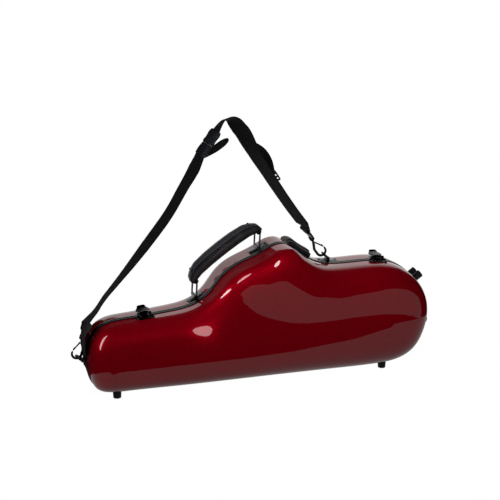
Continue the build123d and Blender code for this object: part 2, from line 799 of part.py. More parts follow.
narrow_frame = seam_frame(stand_height + narrow_eye_share * case_height, "z", False)
bell_frame = seam_frame(bell_eye_share * case_length, "x", True)
eye_tops = {}
for label, frame, half, ring_lean, hook_lean, hand in zip(
        ("narrow", "bell"), (narrow_frame, bell_frame), eye_plate_halves, d_ring_leans, hook_leans,
        hook_sides):
    piece, bar = ring_bracket(frame, eye_offset, half, eye_barrel_half)
    keep(label + "_strap_bracket", piece)
    ring, tip = d_ring_piece(bar, ring_lean)
    keep(label + "_d_ring", ring)
    places[label + "_d_bar"] = bar
    places[label + "_d_tip"] = tip
    eye_tops[label] = snap_hook(label, tip, hook_lean, hand)


def webbing(route, name, offset=eye_offset):
    """Flat webbing along a hand-chosen route, straight runs joined by tangent arcs."""
    points = [Vector(x, offset, z) for x, z in route]
    radii = []
    for before, here, after in zip(points, points[1:], points[2:]):
        turn = math.radians((here - before).get_angle(after - here))
        shorter = min((here - before).length, (after - here).length)
        radii.append(bend_share * shorter / math.tan(turn / 2))
    path = FilletPolyline(*points, radius=radii).wire()
    start = path.position_at(0)
    along = path.tangent_at(0)
    plane = Plane(origin=start, x_dir=(0, 1, 0), z_dir=along)
    section = Face.make_rect(webbing_width, webbing_thickness, plane)
    solid = Solid.sweep(section, path)
    volume_share = solid.volume / (webbing_width * webbing_thickness * path.length)
    print(name, "length", round(path.length, 1), "volume share", round(volume_share, 4),
          "least radius", round(min(radii), 1))
    return solid


def webbing_loop(at):
    """Webbing turned round the top bar of a swivel eye."""
    inside = eye_wire + seat_gap
    start = (at.X, eye_offset - webbing_width / 2, at.Z)
    end = (at.X, eye_offset + webbing_width / 2, at.Z)
    return rod(start, end, inside + webbing_thickness) - rod(start, end, inside)


def along_route(first, second):
    """Frame on the strap, X along it and Z away from its underside."""
    a = Vector(first[0], eye_offset, first[1])
    b = Vector(second[0], eye_offset, second[1])
    along = (b - a).normalized()
    return Plane(origin=a, x_dir=along, z_dir=along.cross(Vector(0, 1, 0)))


def buckle():
    """Side-release buckle in two halves, at the top of the strap."""
    frame = along_route(left_route[-1], right_route[0])
    length = math.dist(left_route[-1], right_route[0])
    low = (length - buckle_length) / 2
    split = low + buckle_length * buckle_split
    half = (-buckle_width / 2, buckle_width / 2)
    high = (-buckle_thickness / 2, buckle_thickness / 2)
    slot = block(frame, (-slot_depth, seat_gap), (-webbing_width, webbing_width),
                 (-webbing_thickness, webbing_thickness))
    other = block(frame, (length - seat_gap, length + slot_depth), (-webbing_width, webbing_width),
                  (-webbing_thickness, webbing_thickness))
    plug = block(frame, (low, split - running_gap), half, high) - slot
    socket = block(frame, (split, low + buckle_length), half, high) - other
    return one(plug), one(socket)


plug, socket = buckle()
keep("buckle_plug", plug)
keep("buckle_socket", socket)
left_strap = webbing(left_route, "left_strap")
right_strap = webbing(right_route, "right_strap")
keep("left_strap", one(left_strap + webbing_loop(eye_tops["narrow"])))
keep("right_strap", one(right_strap + webbing_loop(eye_tops["bell"])))
keep("slider_layer", webbing(bulge_route, "slider_layer"))
keep("top_tail", one(webbing(top_tail_route, "top_tail") - plug))
keep("left_tail", webbing(left_tail_route, "left_tail", left_tail_offset))


def slider():
    """Metal three-bar slider on the right stretch."""
    frame = along_route(right_route[slider_from], right_route[slider_from + 1])
    half_width = slider_width / 2
    body = block(frame, (0, slider_length), (-half_width, half_width),
                 (-webbing_thickness - slider_thickness, -webbing_thickness))
    window = (slider_length - 3 * slider_bar) / 2
    for start in (slider_bar, 2 * slider_bar + window):
        body = body - block(frame, (start, start + window),
                            (-half_width + slider_bar, half_width - slider_bar),
                            (-webbing_thickness - slider_thickness - overrun, 0))
    return one(body)


keep("strap_slider", slider())
keep("front_screws", group([seat(piece) for piece in front_screws]))
keep("back_screws", group([seat(piece) for piece in back_screws]))

# The origin is the middle of the underside of everything but the strap and what hangs on it
cord_names = ("left_strap", "right_strap", "slider_layer", "top_tail", "left_tail", "buckle_plug",
              "buckle_socket", "strap_slider", "narrow_hook_body", "narrow_hook_gate",
              "narrow_swivel_eye", "bell_hook_body", "bell_hook_gate", "bell_swivel_eye")
boxes = [shape.bounding_box() for name, shape in parts.items() if name not in cord_names]
shift = Vector(-(min(b.min.X for b in boxes) + max(b.max.X for b in boxes)) / 2,
               -(min(b.min.Y for b in boxes) + max(b.max.Y for b in boxes)) / 2,
               -min(b.min.Z for b in boxes))
print("shift", shift)
for name, value in places.items():
    print(name, value)

os.makedirs("parts", exist_ok=True)
for name, shape in parts.items():
    export_step(Pos(shift) * shape, "parts/" + name + ".step")
print(len(parts), "nodes")
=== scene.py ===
# %% [markdown]
# # A shaped alto saxophone case, dressed piece by piece
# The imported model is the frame: every solid is already in its place, in metres, with Z up and the
# lid toward -Y. This script adds the looks. A soft solid gets a sewn or foamed piece in its stead,
# a hard one gets either a better finish or a more detailed piece on the same spot.

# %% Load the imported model
import json
import math

import bmesh
import bpy
import numpy as np
from mathutils import Matrix, Vector

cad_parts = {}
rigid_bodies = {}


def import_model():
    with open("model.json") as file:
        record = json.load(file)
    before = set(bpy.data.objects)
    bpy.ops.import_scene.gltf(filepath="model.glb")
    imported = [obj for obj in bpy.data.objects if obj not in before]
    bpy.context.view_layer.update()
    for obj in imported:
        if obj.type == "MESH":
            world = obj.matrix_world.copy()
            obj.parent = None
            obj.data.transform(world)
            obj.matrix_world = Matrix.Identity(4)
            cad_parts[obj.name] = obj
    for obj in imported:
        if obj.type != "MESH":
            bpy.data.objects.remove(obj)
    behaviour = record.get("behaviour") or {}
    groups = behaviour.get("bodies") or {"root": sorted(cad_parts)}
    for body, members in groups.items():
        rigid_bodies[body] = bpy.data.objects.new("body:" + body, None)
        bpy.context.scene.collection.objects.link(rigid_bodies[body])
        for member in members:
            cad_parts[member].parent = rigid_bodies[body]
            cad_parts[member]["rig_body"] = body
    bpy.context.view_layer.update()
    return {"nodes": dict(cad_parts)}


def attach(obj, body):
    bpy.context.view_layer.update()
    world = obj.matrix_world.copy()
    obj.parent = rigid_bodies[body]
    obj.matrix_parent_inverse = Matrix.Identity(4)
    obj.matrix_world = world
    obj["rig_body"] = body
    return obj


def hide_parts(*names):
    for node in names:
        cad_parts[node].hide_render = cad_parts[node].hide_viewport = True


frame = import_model()

# %% [markdown]
# ## The camera first
# The photograph was taken with a long lens, a little above the case and turned to its narrow end.
# A long lens keeps the two ends of a long object nearly equal in scale, so it is worth fitting
# before anything is shaped.

# %% Camera
camera_target = Vector((-0.0138, 0.0, 0.2375))
camera_turn = math.radians(17.5)
camera_rise = math.radians(15.5)
camera_distance = 2.3
lens_data = bpy.data.cameras.new("camera")
lens_data.lens = 93.24
lens_data.sensor_width = 36.0
lens_data.clip_start = 0.05
camera = bpy.data.objects.new("camera", lens_data)
away = Vector((-math.sin(camera_turn) * math.cos(camera_rise),
               -math.cos(camera_turn) * math.cos(camera_rise), math.sin(camera_rise)))
camera.location = camera_target + away * camera_distance
camera.rotation_euler = (-away).to_track_quat("-Z", "Y").to_euler()
bpy.context.scene.collection.objects.link(camera)
bpy.context.scene.camera = camera
bpy.context.scene.view_settings.view_transform = "Standard"
print("camera at", [round(v, 3) for v in camera.location])

# %% [markdown]
# ## Helpers for nodes and colours
# Every finish below is a small node tree. `add` makes one node, sets its properties, and either
# links or sets each input; `texture` makes one that is fixed to the object. Colours are written as
# hex, as a paint chart gives them, and turned to the linear values that a renderer mixes. The
# plainest finishes need one texture for tint and relief both, so `grained` makes them whole.

# %% Node and colour helpers
def linear(hex_code):
    """Linear colour of an sRGB hex code."""
    parts = [int(hex_code[i:i + 2], 16) / 255 for i in (1, 3, 5)]
    flat = [c / 12.92 if c <= 0.04045 else ((c + 0.055) / 1.055) ** 2.4 for c in parts]
    return (*flat, 1.0)


def add(tree, kind, inputs=None, **settings):
    """Adds a node with its settings, and links or sets its inputs."""
    made = tree.nodes.new(kind)
    for key, value in settings.items():
        setattr(made, key, value)
    for key, value in (inputs or {}).items():
        if isinstance(value, bpy.types.NodeSocket):
            tree.links.new(value, made.inputs[key])
        else:
            made.inputs[key].default_value = value
    return made


def new_finish(name, **surface):
    """A material whose surface shader has these plain values; gives the tree and the shader too."""
    material = bpy.data.materials.new(name)
    material.use_nodes = True
    tree = material.node_tree
    shader = tree.nodes["Principled BSDF"]
    for key, value in surface.items():
        shader.inputs[key.replace("_", " ")].default_value = value
    return material, tree, shader


def ramp(tree, factor, stops):
    """Colour ramp over a factor; each stop is a place and a hex code."""
    made = add(tree, "ShaderNodeValToRGB", {"Fac": factor})
    while len(made.color_ramp.elements) < len(stops):
        made.color_ramp.elements.new(0.5)
    for element, (place, code) in zip(made.color_ramp.elements, stops):
        element.position = place
        element.color = linear(code)
    return made.outputs["Color"]


def bump(tree, height, distance, strength):
    """Bump node over a height, with its depth in metres."""
    inputs = {"Height": height, "Distance": distance, "Strength": strength}
    return add(tree, "ShaderNodeBump", inputs).outputs["Normal"]


def texture(tree, kind, scale, detail=0.0, **settings):
    """Texture node that is fixed to the object, with its scale and its detail."""
    spot = add(tree, "ShaderNodeTexCoord").outputs["Object"]
    return add(tree, kind, {"Vector": spot, "Scale": scale, "Detail": detail}, **settings)


def grained(name, kind, scale, detail, stops, depth, strength, **surface):
    """A material with one texture, which tints it by a ramp, if one is given, and raises it."""
    material, tree, shader = new_finish(name, **surface)
    grain = texture(tree, kind, scale, detail).outputs["Distance" if "Voronoi" in kind else "Fac"]
    if stops:
        tree.links.new(ramp(tree, grain, stops), shader.inputs["Base Color"])
    tree.links.new(bump(tree, grain, depth, strength), shader.inputs["Normal"])
    return material


print("helpers ready")

# %% [markdown]
# ## The red shells: flake lacquer over glass fibre
# A sprayed shell has three layers: a metallic base coat, a red candy tint and a clear coat that is
# polished flat. The eye sees fine sparkle, a red that goes nearly black where nothing bright is
# mirrored, and sharp reflections on top. A metallic base under a full clear coat gives both.
# The flakes are about 0.3 mm across; they are drawn as 0.9 mm cells so that they show at all.
# The brightest cells also carry a painted glint: a lighter red in the base colour.

# %% Lacquer
lacquer, tree, shader = new_finish(
    "sprayed_red_flake_lacquer", Metallic=0.45, Roughness=0.5, Specular_IOR_Level=0.0,
    Coat_Weight=1.0, Coat_Roughness=0.02, Coat_IOR=1.5)
flakes = texture(tree, "ShaderNodeTexVoronoi", 1100.0)
drift = texture(tree, "ShaderNodeTexNoise", 9.0, 2.0)
tint = ramp(tree, drift.outputs["Fac"], [(0.3, "#7E000F"), (0.7, "#880011")])
# Painted glint: some flake cells get a lighter red in the base colour, as sparkle; the flake bump adds real
# sparkle too.
painted_flake_glint = ramp(tree, add(tree, "ShaderNodeSeparateColor", {0: flakes.outputs["Color"]}).outputs[0],
             [(0.0, "#68000B"), (0.55, "#80000F"), (0.93, "#980614"), (1.0, "#B81426")])
paint = add(tree, "ShaderNodeMix", {"Factor": 0.45, 6: tint, 7: painted_flake_glint}, data_type="RGBA")
tree.links.new(paint.outputs[2], shader.inputs["Base Color"])
tree.links.new(bump(tree, flakes.outputs["Distance"], 0.00006, 0.25), shader.inputs["Normal"])
print(lacquer.name)

# %% [markdown]
# ## Black edge profile, seal and feet
# The rim is an extruded vinyl profile: smooth, slightly dull, with a soft line of light along it.
# The seal and the feet are moulded rubber, which scatters more and collects pale dust in its pores.

# %% Black plastics and rubber
rim_vinyl = grained("extruded_black_vinyl", "ShaderNodeTexNoise", 260.0, 3.0, None, 0.00004, 0.5,
                    Base_Color=linear("#060607"), Roughness=0.24, Specular_IOR_Level=0.25)
rubber = grained("moulded_black_rubber", "ShaderNodeTexNoise", 900.0, 4.0,
                 [(0.35, "#0E0E0F"), (0.75, "#1C1C1D")], 0.00008, 0.6,
                 Roughness=0.62, Specular_IOR_Level=0.4)
nylon = grained("moulded_black_nylon", "ShaderNodeTexVoronoi", 1400.0, 0.0,
                [(0.0, "#17171A"), (1.0, "#0D0D0F")], 0.00005, 0.5, Roughness=0.42)
acetal = grained("moulded_grey_acetal", "ShaderNodeTexNoise", 700.0, 3.0,
                 [(0.3, "#17181B"), (0.7, "#212226")], 0.00004, 0.5, Roughness=0.3)
print("plastics and rubber")

# %% [markdown]
# ## Black nickel hardware
# The latches, rings and hooks are cast or bent steel under black nickel plate: a grey mirror,
# darker in its hollows, a little scratched along its edges. Fine scratches are drawn by a noise
# stretched along one axis.

# %% Black nickel and steel
nickel, tree, shader = new_finish("black_nickel_plate", Metallic=1.0)
smudge = texture(tree, "ShaderNodeTexNoise", 160.0, 4.0)
tree.links.new(ramp(tree, smudge.outputs["Fac"], [(0.3, "#3E3E42"), (0.7, "#5C5C61")]),
               shader.inputs["Base Color"])
rub = add(tree, "ShaderNodeMapRange", {0: smudge.outputs["Fac"], 3: 0.16, 4: 0.34})
tree.links.new(rub.outputs[0], shader.inputs["Roughness"])
spot = add(tree, "ShaderNodeTexCoord").outputs["Object"]
stretched = add(tree, "ShaderNodeMapping", {"Vector": spot, "Scale": (300.0, 2600.0, 2600.0)})
scratches = add(tree, "ShaderNodeTexNoise", {"Vector": stretched.outputs[0], "Scale": 1.0})
tree.links.new(bump(tree, scratches.outputs["Fac"], 0.00002, 0.4), shader.inputs["Normal"])

steel, tree, shader = new_finish("plated_screw_steel", Metallic=1.0, Base_Color=linear("#8A8A8E"))
turned = texture(tree, "ShaderNodeTexNoise", 900.0, 2.0)
rub = add(tree, "ShaderNodeMapRange", {0: turned.outputs["Fac"], 3: 0.15, 4: 0.32})
tree.links.new(rub.outputs[0], shader.inputs["Roughness"])
print("metals")

# %% [markdown]
# ## Leather, webbing and plush
# The grip is grained cowhide: pebbles about 1 mm across with creases between them. Nylon webbing
# is woven in ribs of about 1.2 mm that run across the band, crossed by finer warp threads, so its
# pattern follows the band's own length and width, given as texture coordinates in millimetres.
# Plush is a pile of short fibres: a dark ground with a pale sheen where it is seen edge-on.

# %% Soft finishes
leather, tree, shader = new_finish("grained_black_cowhide", Roughness=0.46)
pebbles = texture(tree, "ShaderNodeTexVoronoi", 850.0, feature="SMOOTH_F1")
worn = texture(tree, "ShaderNodeTexNoise", 60.0, 3.0)
tree.links.new(ramp(tree, worn.outputs["Fac"], [(0.35, "#131315"), (0.7, "#232326")]),
               shader.inputs["Base Color"])
tree.links.new(bump(tree, pebbles.outputs["Distance"], -0.00025, 0.6), shader.inputs["Normal"])

strap_leather = grained("smooth_bridle_leather", "ShaderNodeTexNoise", 420.0, 4.0,
                        [(0.3, "#29292D"), (0.75, "#3A3A3F")], 0.0001, 0.5, Roughness=0.38)

thread, tree, shader = new_finish("waxed_black_thread", Base_Color=linear("#2A2A2C"), Roughness=0.55)
twist = texture(tree, "ShaderNodeTexWave", 500.0, 2.0, bands_direction="DIAGONAL")
tree.links.new(bump(tree, twist.outputs["Fac"], 0.0001, 0.6), shader.inputs["Normal"])

webbing, tree, shader = new_finish(
    "woven_black_nylon_webbing", Roughness=0.85, Specular_IOR_Level=0.2, Sheen_Weight=0.03,
    Sheen_Roughness=0.4)
flat = add(tree, "ShaderNodeUVMap", uv_map="band").outputs[0]
ribs = add(tree, "ShaderNodeTexWave", {"Vector": flat, "Scale": 0.262, "Distortion": 0.4,
                                       "Detail": 1.0}, bands_direction="X")
warps = add(tree, "ShaderNodeTexWave", {"Vector": flat, "Scale": 0.42, "Distortion": 0.3},
            bands_direction="Y")
weave = add(tree, "ShaderNodeMath", {0: ribs.outputs["Fac"], 1: warps.outputs["Fac"]},
            operation="MULTIPLY")
fuzz = add(tree, "ShaderNodeTexNoise", {"Vector": flat, "Scale": 0.15, "Detail": 4.0})
shade = add(tree, "ShaderNodeMath", {0: weave.outputs[0], 1: fuzz.outputs["Fac"]},
            operation="MULTIPLY")
tree.links.new(ramp(tree, shade.outputs[0], [(0.0, "#0C0C0E"), (0.4, "#141416"), (0.9, "#1F1F22")]),
               shader.inputs["Base Color"])
tree.links.new(bump(tree, weave.outputs[0], 0.0002, 0.4), shader.inputs["Normal"])

plush, tree, shader = new_finish(
    "charcoal_plush", Roughness=0.95, Sheen_Weight=0.7, Sheen_Roughness=0.5)
pile = texture(tree, "ShaderNodeTexNoise", 520.0, 5.0)
brushed = texture(tree, "ShaderNodeTexNoise", 22.0, 2.0)
nap = add(tree, "ShaderNodeMix", {"Factor": 0.5, 2: pile.outputs["Fac"], 3: brushed.outputs["Fac"]})
tree.links.new(ramp(tree, nap.outputs[0], [(0.35, "#17171A"), (0.65, "#34343A")]),
               shader.inputs["Base Color"])
tree.links.new(bump(tree, pile.outputs["Fac"], 0.0008, 0.7), shader.inputs["Normal"])
print("leather, thread, webbing and plush")

# %% [markdown]
# ## The seam outline, once more
# The source draws the case from one closed curve in the seam plane. Each row holds a point of
# that curve, the place on the case's heart line that it shrinks towards, and how far the sharp
# ledge under the shoulder reaches there: the straight wall takes 28% of the half depth, and twice
# that on the ledge. The same numbers and the same rule give the same shell.

# %% Outline values
case_length = 628.0
case_height = 236.0
stand_height = 10.8
case_middle = 312.767
half_depth_narrow = 64.0
half_depth_bell = 84.0
wall = 3.2
rim_width = 3.5
crown_from, crown_reach, crown_power = 0.5, 0.62, 2.4
outline_rows = np.array([
    (0.0000, 0.254, 0.099, 0.263, 0.0), (0.0032, 0.119, 0.099, 0.263, 0.0),
    (0.0175, 0.034, 0.099, 0.263, 0.0), (0.0541, 0.002, 0.111, 0.263, 0.0),
    (0.0987, 0.000, 0.142, 0.263, 0.0), (0.2389, 0.000, 0.239, 0.263, 0.0),
    (0.4777, 0.000, 0.478, 0.339, 0.0), (0.7166, 0.000, 0.701, 0.403, 0.0),
    (0.8439, 0.005, 0.804, 0.403, 0.0), (0.8997, 0.024, 0.831, 0.403, 0.0),
    (0.9554, 0.102, 0.847, 0.403, 0.0), (0.9873, 0.242, 0.852, 0.403, 0.0),
    (1.0000, 0.415, 0.852, 0.403, 0.0), (0.9889, 0.568, 0.850, 0.403, 0.0),
    (0.9554, 0.693, 0.838, 0.403, 0.0), (0.8997, 0.781, 0.815, 0.403, 0.0),
    (0.8201, 0.805, 0.785, 0.403, 0.0), (0.7404, 0.803, 0.726, 0.411, 0.0),
    (0.6847, 0.822, 0.674, 0.436, 0.0), (0.6417, 0.876, 0.632, 0.487, 0.15),
    (0.6051, 0.947, 0.600, 0.538, 0.6), (0.5796, 0.994, 0.575, 0.568, 0.92),
    (0.5557, 0.997, 0.553, 0.576, 1.0), (0.5064, 0.940, 0.518, 0.534, 1.0),
    (0.4236, 0.843, 0.455, 0.462, 1.0), (0.3869, 0.765, 0.427, 0.415, 0.85),
    (0.3535, 0.660, 0.387, 0.343, 0.5), (0.3153, 0.590, 0.334, 0.284, 0.2),
    (0.2389, 0.546, 0.242, 0.263, 0.0), (0.1115, 0.516, 0.140, 0.263, 0.0),
    (0.0510, 0.487, 0.107, 0.263, 0.0), (0.0159, 0.411, 0.099, 0.263, 0.0)])
outline = np.column_stack([outline_rows[:, 0] * case_length,
                           stand_height + outline_rows[:, 1] * case_height])
heart = np.column_stack([outline_rows[:, 2] * case_length,
                         stand_height + outline_rows[:, 3] * case_height])
straight_share = 0.28 + 0.28 * outline_rows[:, 4]
chords = np.linalg.norm(np.roll(outline, -1, axis=0) - outline, axis=1)
knots = np.concatenate([[0.0], np.cumsum(chords)]) / chords.sum()
around = np.roll(outline, -1, axis=0) - np.roll(outline, 1, axis=0)
around /= np.linalg.norm(around, axis=1)[:, None]
outward = np.column_stack([around[:, 1], -around[:, 0]])
print(len(outline), "rows, seam about", round(chords.sum()), "mm round")

# %% [markdown]
# ## From rows to rings
# A periodic cubic spline runs through the rows. A ring of a shell is that curve twice moved: inward
# by an inset or a pull towards the heart line, and out of the seam plane by a share of the half
# depth. The crown is a power curve that gets its last rise more and more slowly.

# %% Smooth curve, depth and rings
def smooth_ring(points, count):
    """Closed curve through the rows' points, with the seam's own spacing, at even places."""
    size = len(points)
    steps = np.diff(knots)
    slopes = (np.roll(points, -1, axis=0) - points) / steps[:, None]
    matrix = np.zeros((size, size))
    for i in range(size):
        matrix[i, i - 1] += steps[i - 1]
        matrix[i, i] += 2 * (steps[i - 1] + steps[i])
        matrix[i, (i + 1) % size] += steps[i]
    bends = np.linalg.solve(matrix, 6 * (slopes - np.roll(slopes, 1, axis=0)))
    places = np.arange(count) / count
    span = np.clip(np.searchsorted(knots, places, side="right") - 1, 0, size - 1)
    t = (places - knots[span])[:, None]
    h = steps[span][:, None]
    first, second = bends[span], bends[(span + 1) % size]
    start = points[span]
    rate = slopes[span] - h * (2 * first + second) / 6
    return start + rate * t + first / 2 * t ** 2 + (second - first) / (6 * h) * t ** 3


def half_depth(x):
    """Half depth of the case at a place along it."""
    return half_depth_narrow + (half_depth_bell - half_depth_narrow) * x / case_length


def bulge(pull):
    """Share of the half depth that the wall has reached after a pull towards the heart line."""
    left = np.clip(1 - np.minimum(pull, crown_from) / crown_reach, 0, 1)
    rise = (1 - left ** crown_power) ** (1 / crown_power)
    slope = left ** (crown_power - 1) * rise ** (1 - crown_power) / crown_reach * (1 - straight_share)
    share = straight_share + (1 - straight_share) * rise
    room = 1 - crown_from
    beyond = np.maximum(pull - crown_from, 0)
    return share + slope * (beyond - beyond ** 2 / (2 * room)) * (pull > crown_from)


def shell_ring(share, inset, side, count, pull=None):
    """One ring of a shell: on the straight wall at a share of the half depth, or at a pull."""
    moved = outline - outward * inset
    if pull is None:
        depth = np.asarray(share) + np.zeros(len(outline))
    else:
        moved = moved + (heart - moved) * pull
        depth = bulge(np.full(len(outline), pull)) if pull > 0 else straight_share
    depth = side * depth * (half_depth(moved[:, 0]) - inset)
    ring = np.column_stack([moved[:, 0], depth, moved[:, 1]])
    return smooth_ring(ring, count)


def to_frame(points):
    """From the drawing's millimetres to the frame's metres."""
    points = np.asarray(points, dtype=float).reshape(-1, 3)
    return (points - (case_middle, 0, 0)) / 1000


print("seam curve", smooth_ring(outline, 4).round(1).tolist())

# %% [markdown]
# ## Making pieces
# A piece is a mesh with its place in its vertices, a finish, a body that it rides on, and the
# solid that it stands for. Grids are the handiest form: rings of points, joined row by row.

# %% Piece helpers
def in_scene(name, data):
    """New object in the scene that shows this data."""
    made = bpy.data.objects.new(name, data)
    bpy.context.scene.collection.objects.link(made)
    return made


def smoothed(mesh):
    """Shades a mesh as one smooth surface."""
    mesh.polygons.foreach_set("use_smooth", [True] * len(mesh.polygons))


def make_piece(name, points, faces, body, slot, finish, stands_for=()):
    """Mesh piece from points in millimetres and faces, riding on a body."""
    mesh = bpy.data.meshes.new(name)
    mesh.from_pydata([tuple(p) for p in to_frame(points)], [], [tuple(f) for f in faces])
    made = in_scene(name, mesh)
    work = bmesh.new()
    work.from_mesh(mesh)
    bmesh.ops.remove_doubles(work, verts=work.verts, dist=1e-6)
    bmesh.ops.triangulate(work, faces=[face for face in work.faces if len(face.verts) > 40])
    bmesh.ops.recalc_face_normals(work, faces=work.faces)
    work.to_mesh(mesh)
    work.free()
    smoothed(mesh)
    mesh.materials.append(finish)
    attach(made, body)
    if stands_for:
        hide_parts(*stands_for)
    return made


def grid_faces(rows, columns, wrap_columns=False, wrap_rows=False):
    """Faces that join a grid of points, row by row."""
    faces = []
    for i in range(rows if wrap_rows else rows - 1):
        for j in range(columns if wrap_columns else columns - 1):
            right, below = (j + 1) % columns, (i + 1) % rows * columns
            faces.append((i * columns + j, i * columns + right, below + right, below + j))
    return faces


def closed_faces(rows, columns):
    """Faces of a skin over rings of points, with a flat end at its first and its last ring."""
    faces = grid_faces(rows, columns, wrap_columns=True)
    faces.append(tuple(range(columns))[::-1])
    faces.append(tuple((rows - 1) * columns + j for j in range(columns)))
    return faces


def settle(piece, *modifiers):
    """Adds modifiers and applies them, so that the mesh keeps their result."""
    for kind, settings in modifiers:
        made = piece.modifiers.new(kind.lower(), kind)
        for key, value in settings.items():
            setattr(made, key, value)
    graph = bpy.context.evaluated_depsgraph_get()
    graph.update()
    result = bpy.data.meshes.new_from_object(piece.evaluated_get(graph))
    smoothed(result)
    piece.modifiers.clear()
    piece.data = result
    return piece


print("piece helpers ready")

# %% [markdown]
# ## The two shells
# Each shell is moulded in one piece, so it is one closed skin: the polished outside from the rim
# to the crown of the face, and the inside a wall thickness further in. The rings are close
# together because a gloss surface shows every flat facet.

# %% Shells
ring_count = 400
wall_shares = np.linspace(0.06, 1.0, 8)
pull_steps = np.concatenate([0.1 * np.linspace(0, 1, 13) ** 2, np.linspace(0.1, 0.86, 30)[1:]])


def shell_skin(inset, side):
    """Rings of one skin of a shell, from the rim to the heart line."""
    rings = [shell_ring(0.0, inset, side, ring_count)]
    rings[0][:, 1] = side * rim_width
    for share in wall_shares:
        rings.append(shell_ring(share * straight_share, inset, side, ring_count))
    for pull in pull_steps[1:]:
        rings.append(shell_ring(None, inset, side, ring_count, pull))
    return rings


def two_skins(name, outside, inside, side, body, slot, finish, node):
    """A closed shell between two insets: the outer skin, the inner skin and the edge between."""
    rings = shell_skin(outside, side)[::-1] + shell_skin(inside, side)
    return make_piece(name, np.concatenate(rings), closed_faces(len(rings), ring_count), body, slot,
                      finish, [node])


for node, side, body in (("front_shell", -1, "lid"), ("back_shell", 1, "case")):
    shell = two_skins(node + "_skin", 0.0, wall, side, body, "red_lacquer", lacquer, node)
    print(shell.name, len(shell.data.vertices), "points")

# %% [markdown]
# ## Rims along the seam
# The edge of each shell is bound with a soft profile: a rounded bead outside, a flat lip inside.
# A profile is drawn once and carried along the seam.

# %% Rims
def along_seam(profile, count=480):
    """Rings of a profile carried along the seam; each profile point is an offset and a depth."""
    base = smooth_ring(outline, count)
    ahead = np.roll(base, -1, axis=0) - np.roll(base, 1, axis=0)
    ahead /= np.linalg.norm(ahead, axis=1)[:, None]
    normal = np.column_stack([ahead[:, 1], -ahead[:, 0]])
    rings = []
    for offset, depth in profile:
        moved = base + normal * offset
        rings.append(np.column_stack([moved[:, 0], np.full(count, depth), moved[:, 1]]))
    return rings


def make_rim(name, side, body, near):
    """Rounded edge profile of one shell, over the shell's own edge."""
    profile = [(0.05, 6.8), (0.75, 6.9), (1.05, 6.5), (1.2, 4.6), (1.25, 2.6), (1.15, near + 0.7),
               (0.7, near + 0.15), (0.1, near), (-7.4, near), (-7.9, near + 0.5), (-7.9, 3.0),
               (-7.4, 3.45), (-3.3, 3.45), (0.0, 3.45)]
    rings = along_seam([(offset, side * depth) for offset, depth in profile])
    faces = grid_faces(len(rings), len(rings[0]), wrap_columns=True, wrap_rows=True)
    made = make_piece(name + "_profile", np.concatenate(rings), faces, body, "rim_black", rim_vinyl,
                      [name])
    return settle(made, ("SUBSURF", {"levels": 1}))


make_rim("front_rim", -1, "lid", 0.5)
make_rim("back_rim", 1, "case", 0.02)
print("rims")

# %% [markdown]
# ## Places on the seam
# Every fitting on the edge of the case sits on the seam outline, square to it. One function finds
# such a place from an X or a height, and gives a small local frame: u along the seam, v toward
# the back shell, h outward. The handle and the strap are screwed to the back shell, so both sit a
# little behind the seam.

# %% Local frames on the seam
dense_seam = smooth_ring(outline, 6000)
handle_depth, strap_depth = 20.0, 18.0


def seam_frame(value, axis, upper):
    """Origin and three directions where the seam reaches a value along an axis."""
    column = 0 if axis == "x" else 1
    other = 1 - column
    line = dense_seam
    after = np.roll(line, -1, axis=0)
    crossing = np.nonzero((line[:, column] - value) * (after[:, column] - value) <= 0)[0]
    best = max(crossing, key=lambda i: line[i, other] if upper else -line[i, other])
    along = after[best] - line[best]
    along = along / np.linalg.norm(along)
    out = Vector((along[1], 0.0, -along[0]))
    point = Vector((line[best, 0], 0.0, line[best, 1]))
    side = Vector((0.0, 1.0, 0.0))
    return point, side.cross(out), side, out


def local(place, u, v, h):
    """A point of a local frame, in the drawing's millimetres."""
    point, along, side, out = place
    return point + along * u + side * v + out * h


narrow_latch_place = seam_frame(0.1640 * case_length, "x", True)
bell_latch_place = seam_frame(0.8599 * case_length, "x", True)
narrow_handle_place = seam_frame(0.3232 * case_length, "x", True)
bell_handle_place = seam_frame(0.5096 * case_length, "x", True)
narrow_eye_place = seam_frame(stand_height + 0.2000 * case_height, "z", False)
bell_eye_place = seam_frame(0.7197 * case_length, "x", True)
print("narrow latch at", [round(v, 1) for v in narrow_latch_place[0]])

# %% [markdown]
# ## Webbing
# A strap is one flat band, 38 mm wide and 1.8 mm thick. It is drawn along a smooth curve with
# given points, the same as in the source, and its section is a thin rounded strip with the
# width across the route. The texture coordinates are millimetres along and across the band, for
# the weave. The helpers come first; the straps themselves are drawn last.

# %% Band helpers
webbing_width, webbing_thickness, band_step, across_cells = 0.038, 0.0018, 0.0016, 14


def smooth_route(name, points, offset):
    """Smooth curve through the seam plane's x and z points, and the points along it."""
    data = bpy.data.curves.new(name, "CURVE")
    data.dimensions = "3D"
    data.resolution_u = 24
    spline = data.splines.new("NURBS")
    spline.points.add(len(points) - 1)
    for knot, (x, z) in zip(spline.points, points):
        knot.co = (*to_frame((x, offset, z))[0], 1.0)
    spline.order_u = 3
    spline.use_endpoint_u = True
    spline.resolution_u = 24
    made = in_scene(name, data)
    line = bpy.data.meshes.new_from_object(made)
    path = np.array([tuple(v.co) for v in line.vertices])
    bpy.data.objects.remove(made)
    return path


def even(path, step):
    """The same path with points at an even step."""
    gaps = np.linalg.norm(np.diff(path, axis=0), axis=1)
    place = np.concatenate([[0.0], np.cumsum(gaps)])
    count = max(3, int(round(place[-1] / step)) + 1)
    at = np.linspace(0, place[-1], count)
    return np.column_stack([np.interp(at, place, path[:, k]) for k in range(3)]), place[-1]


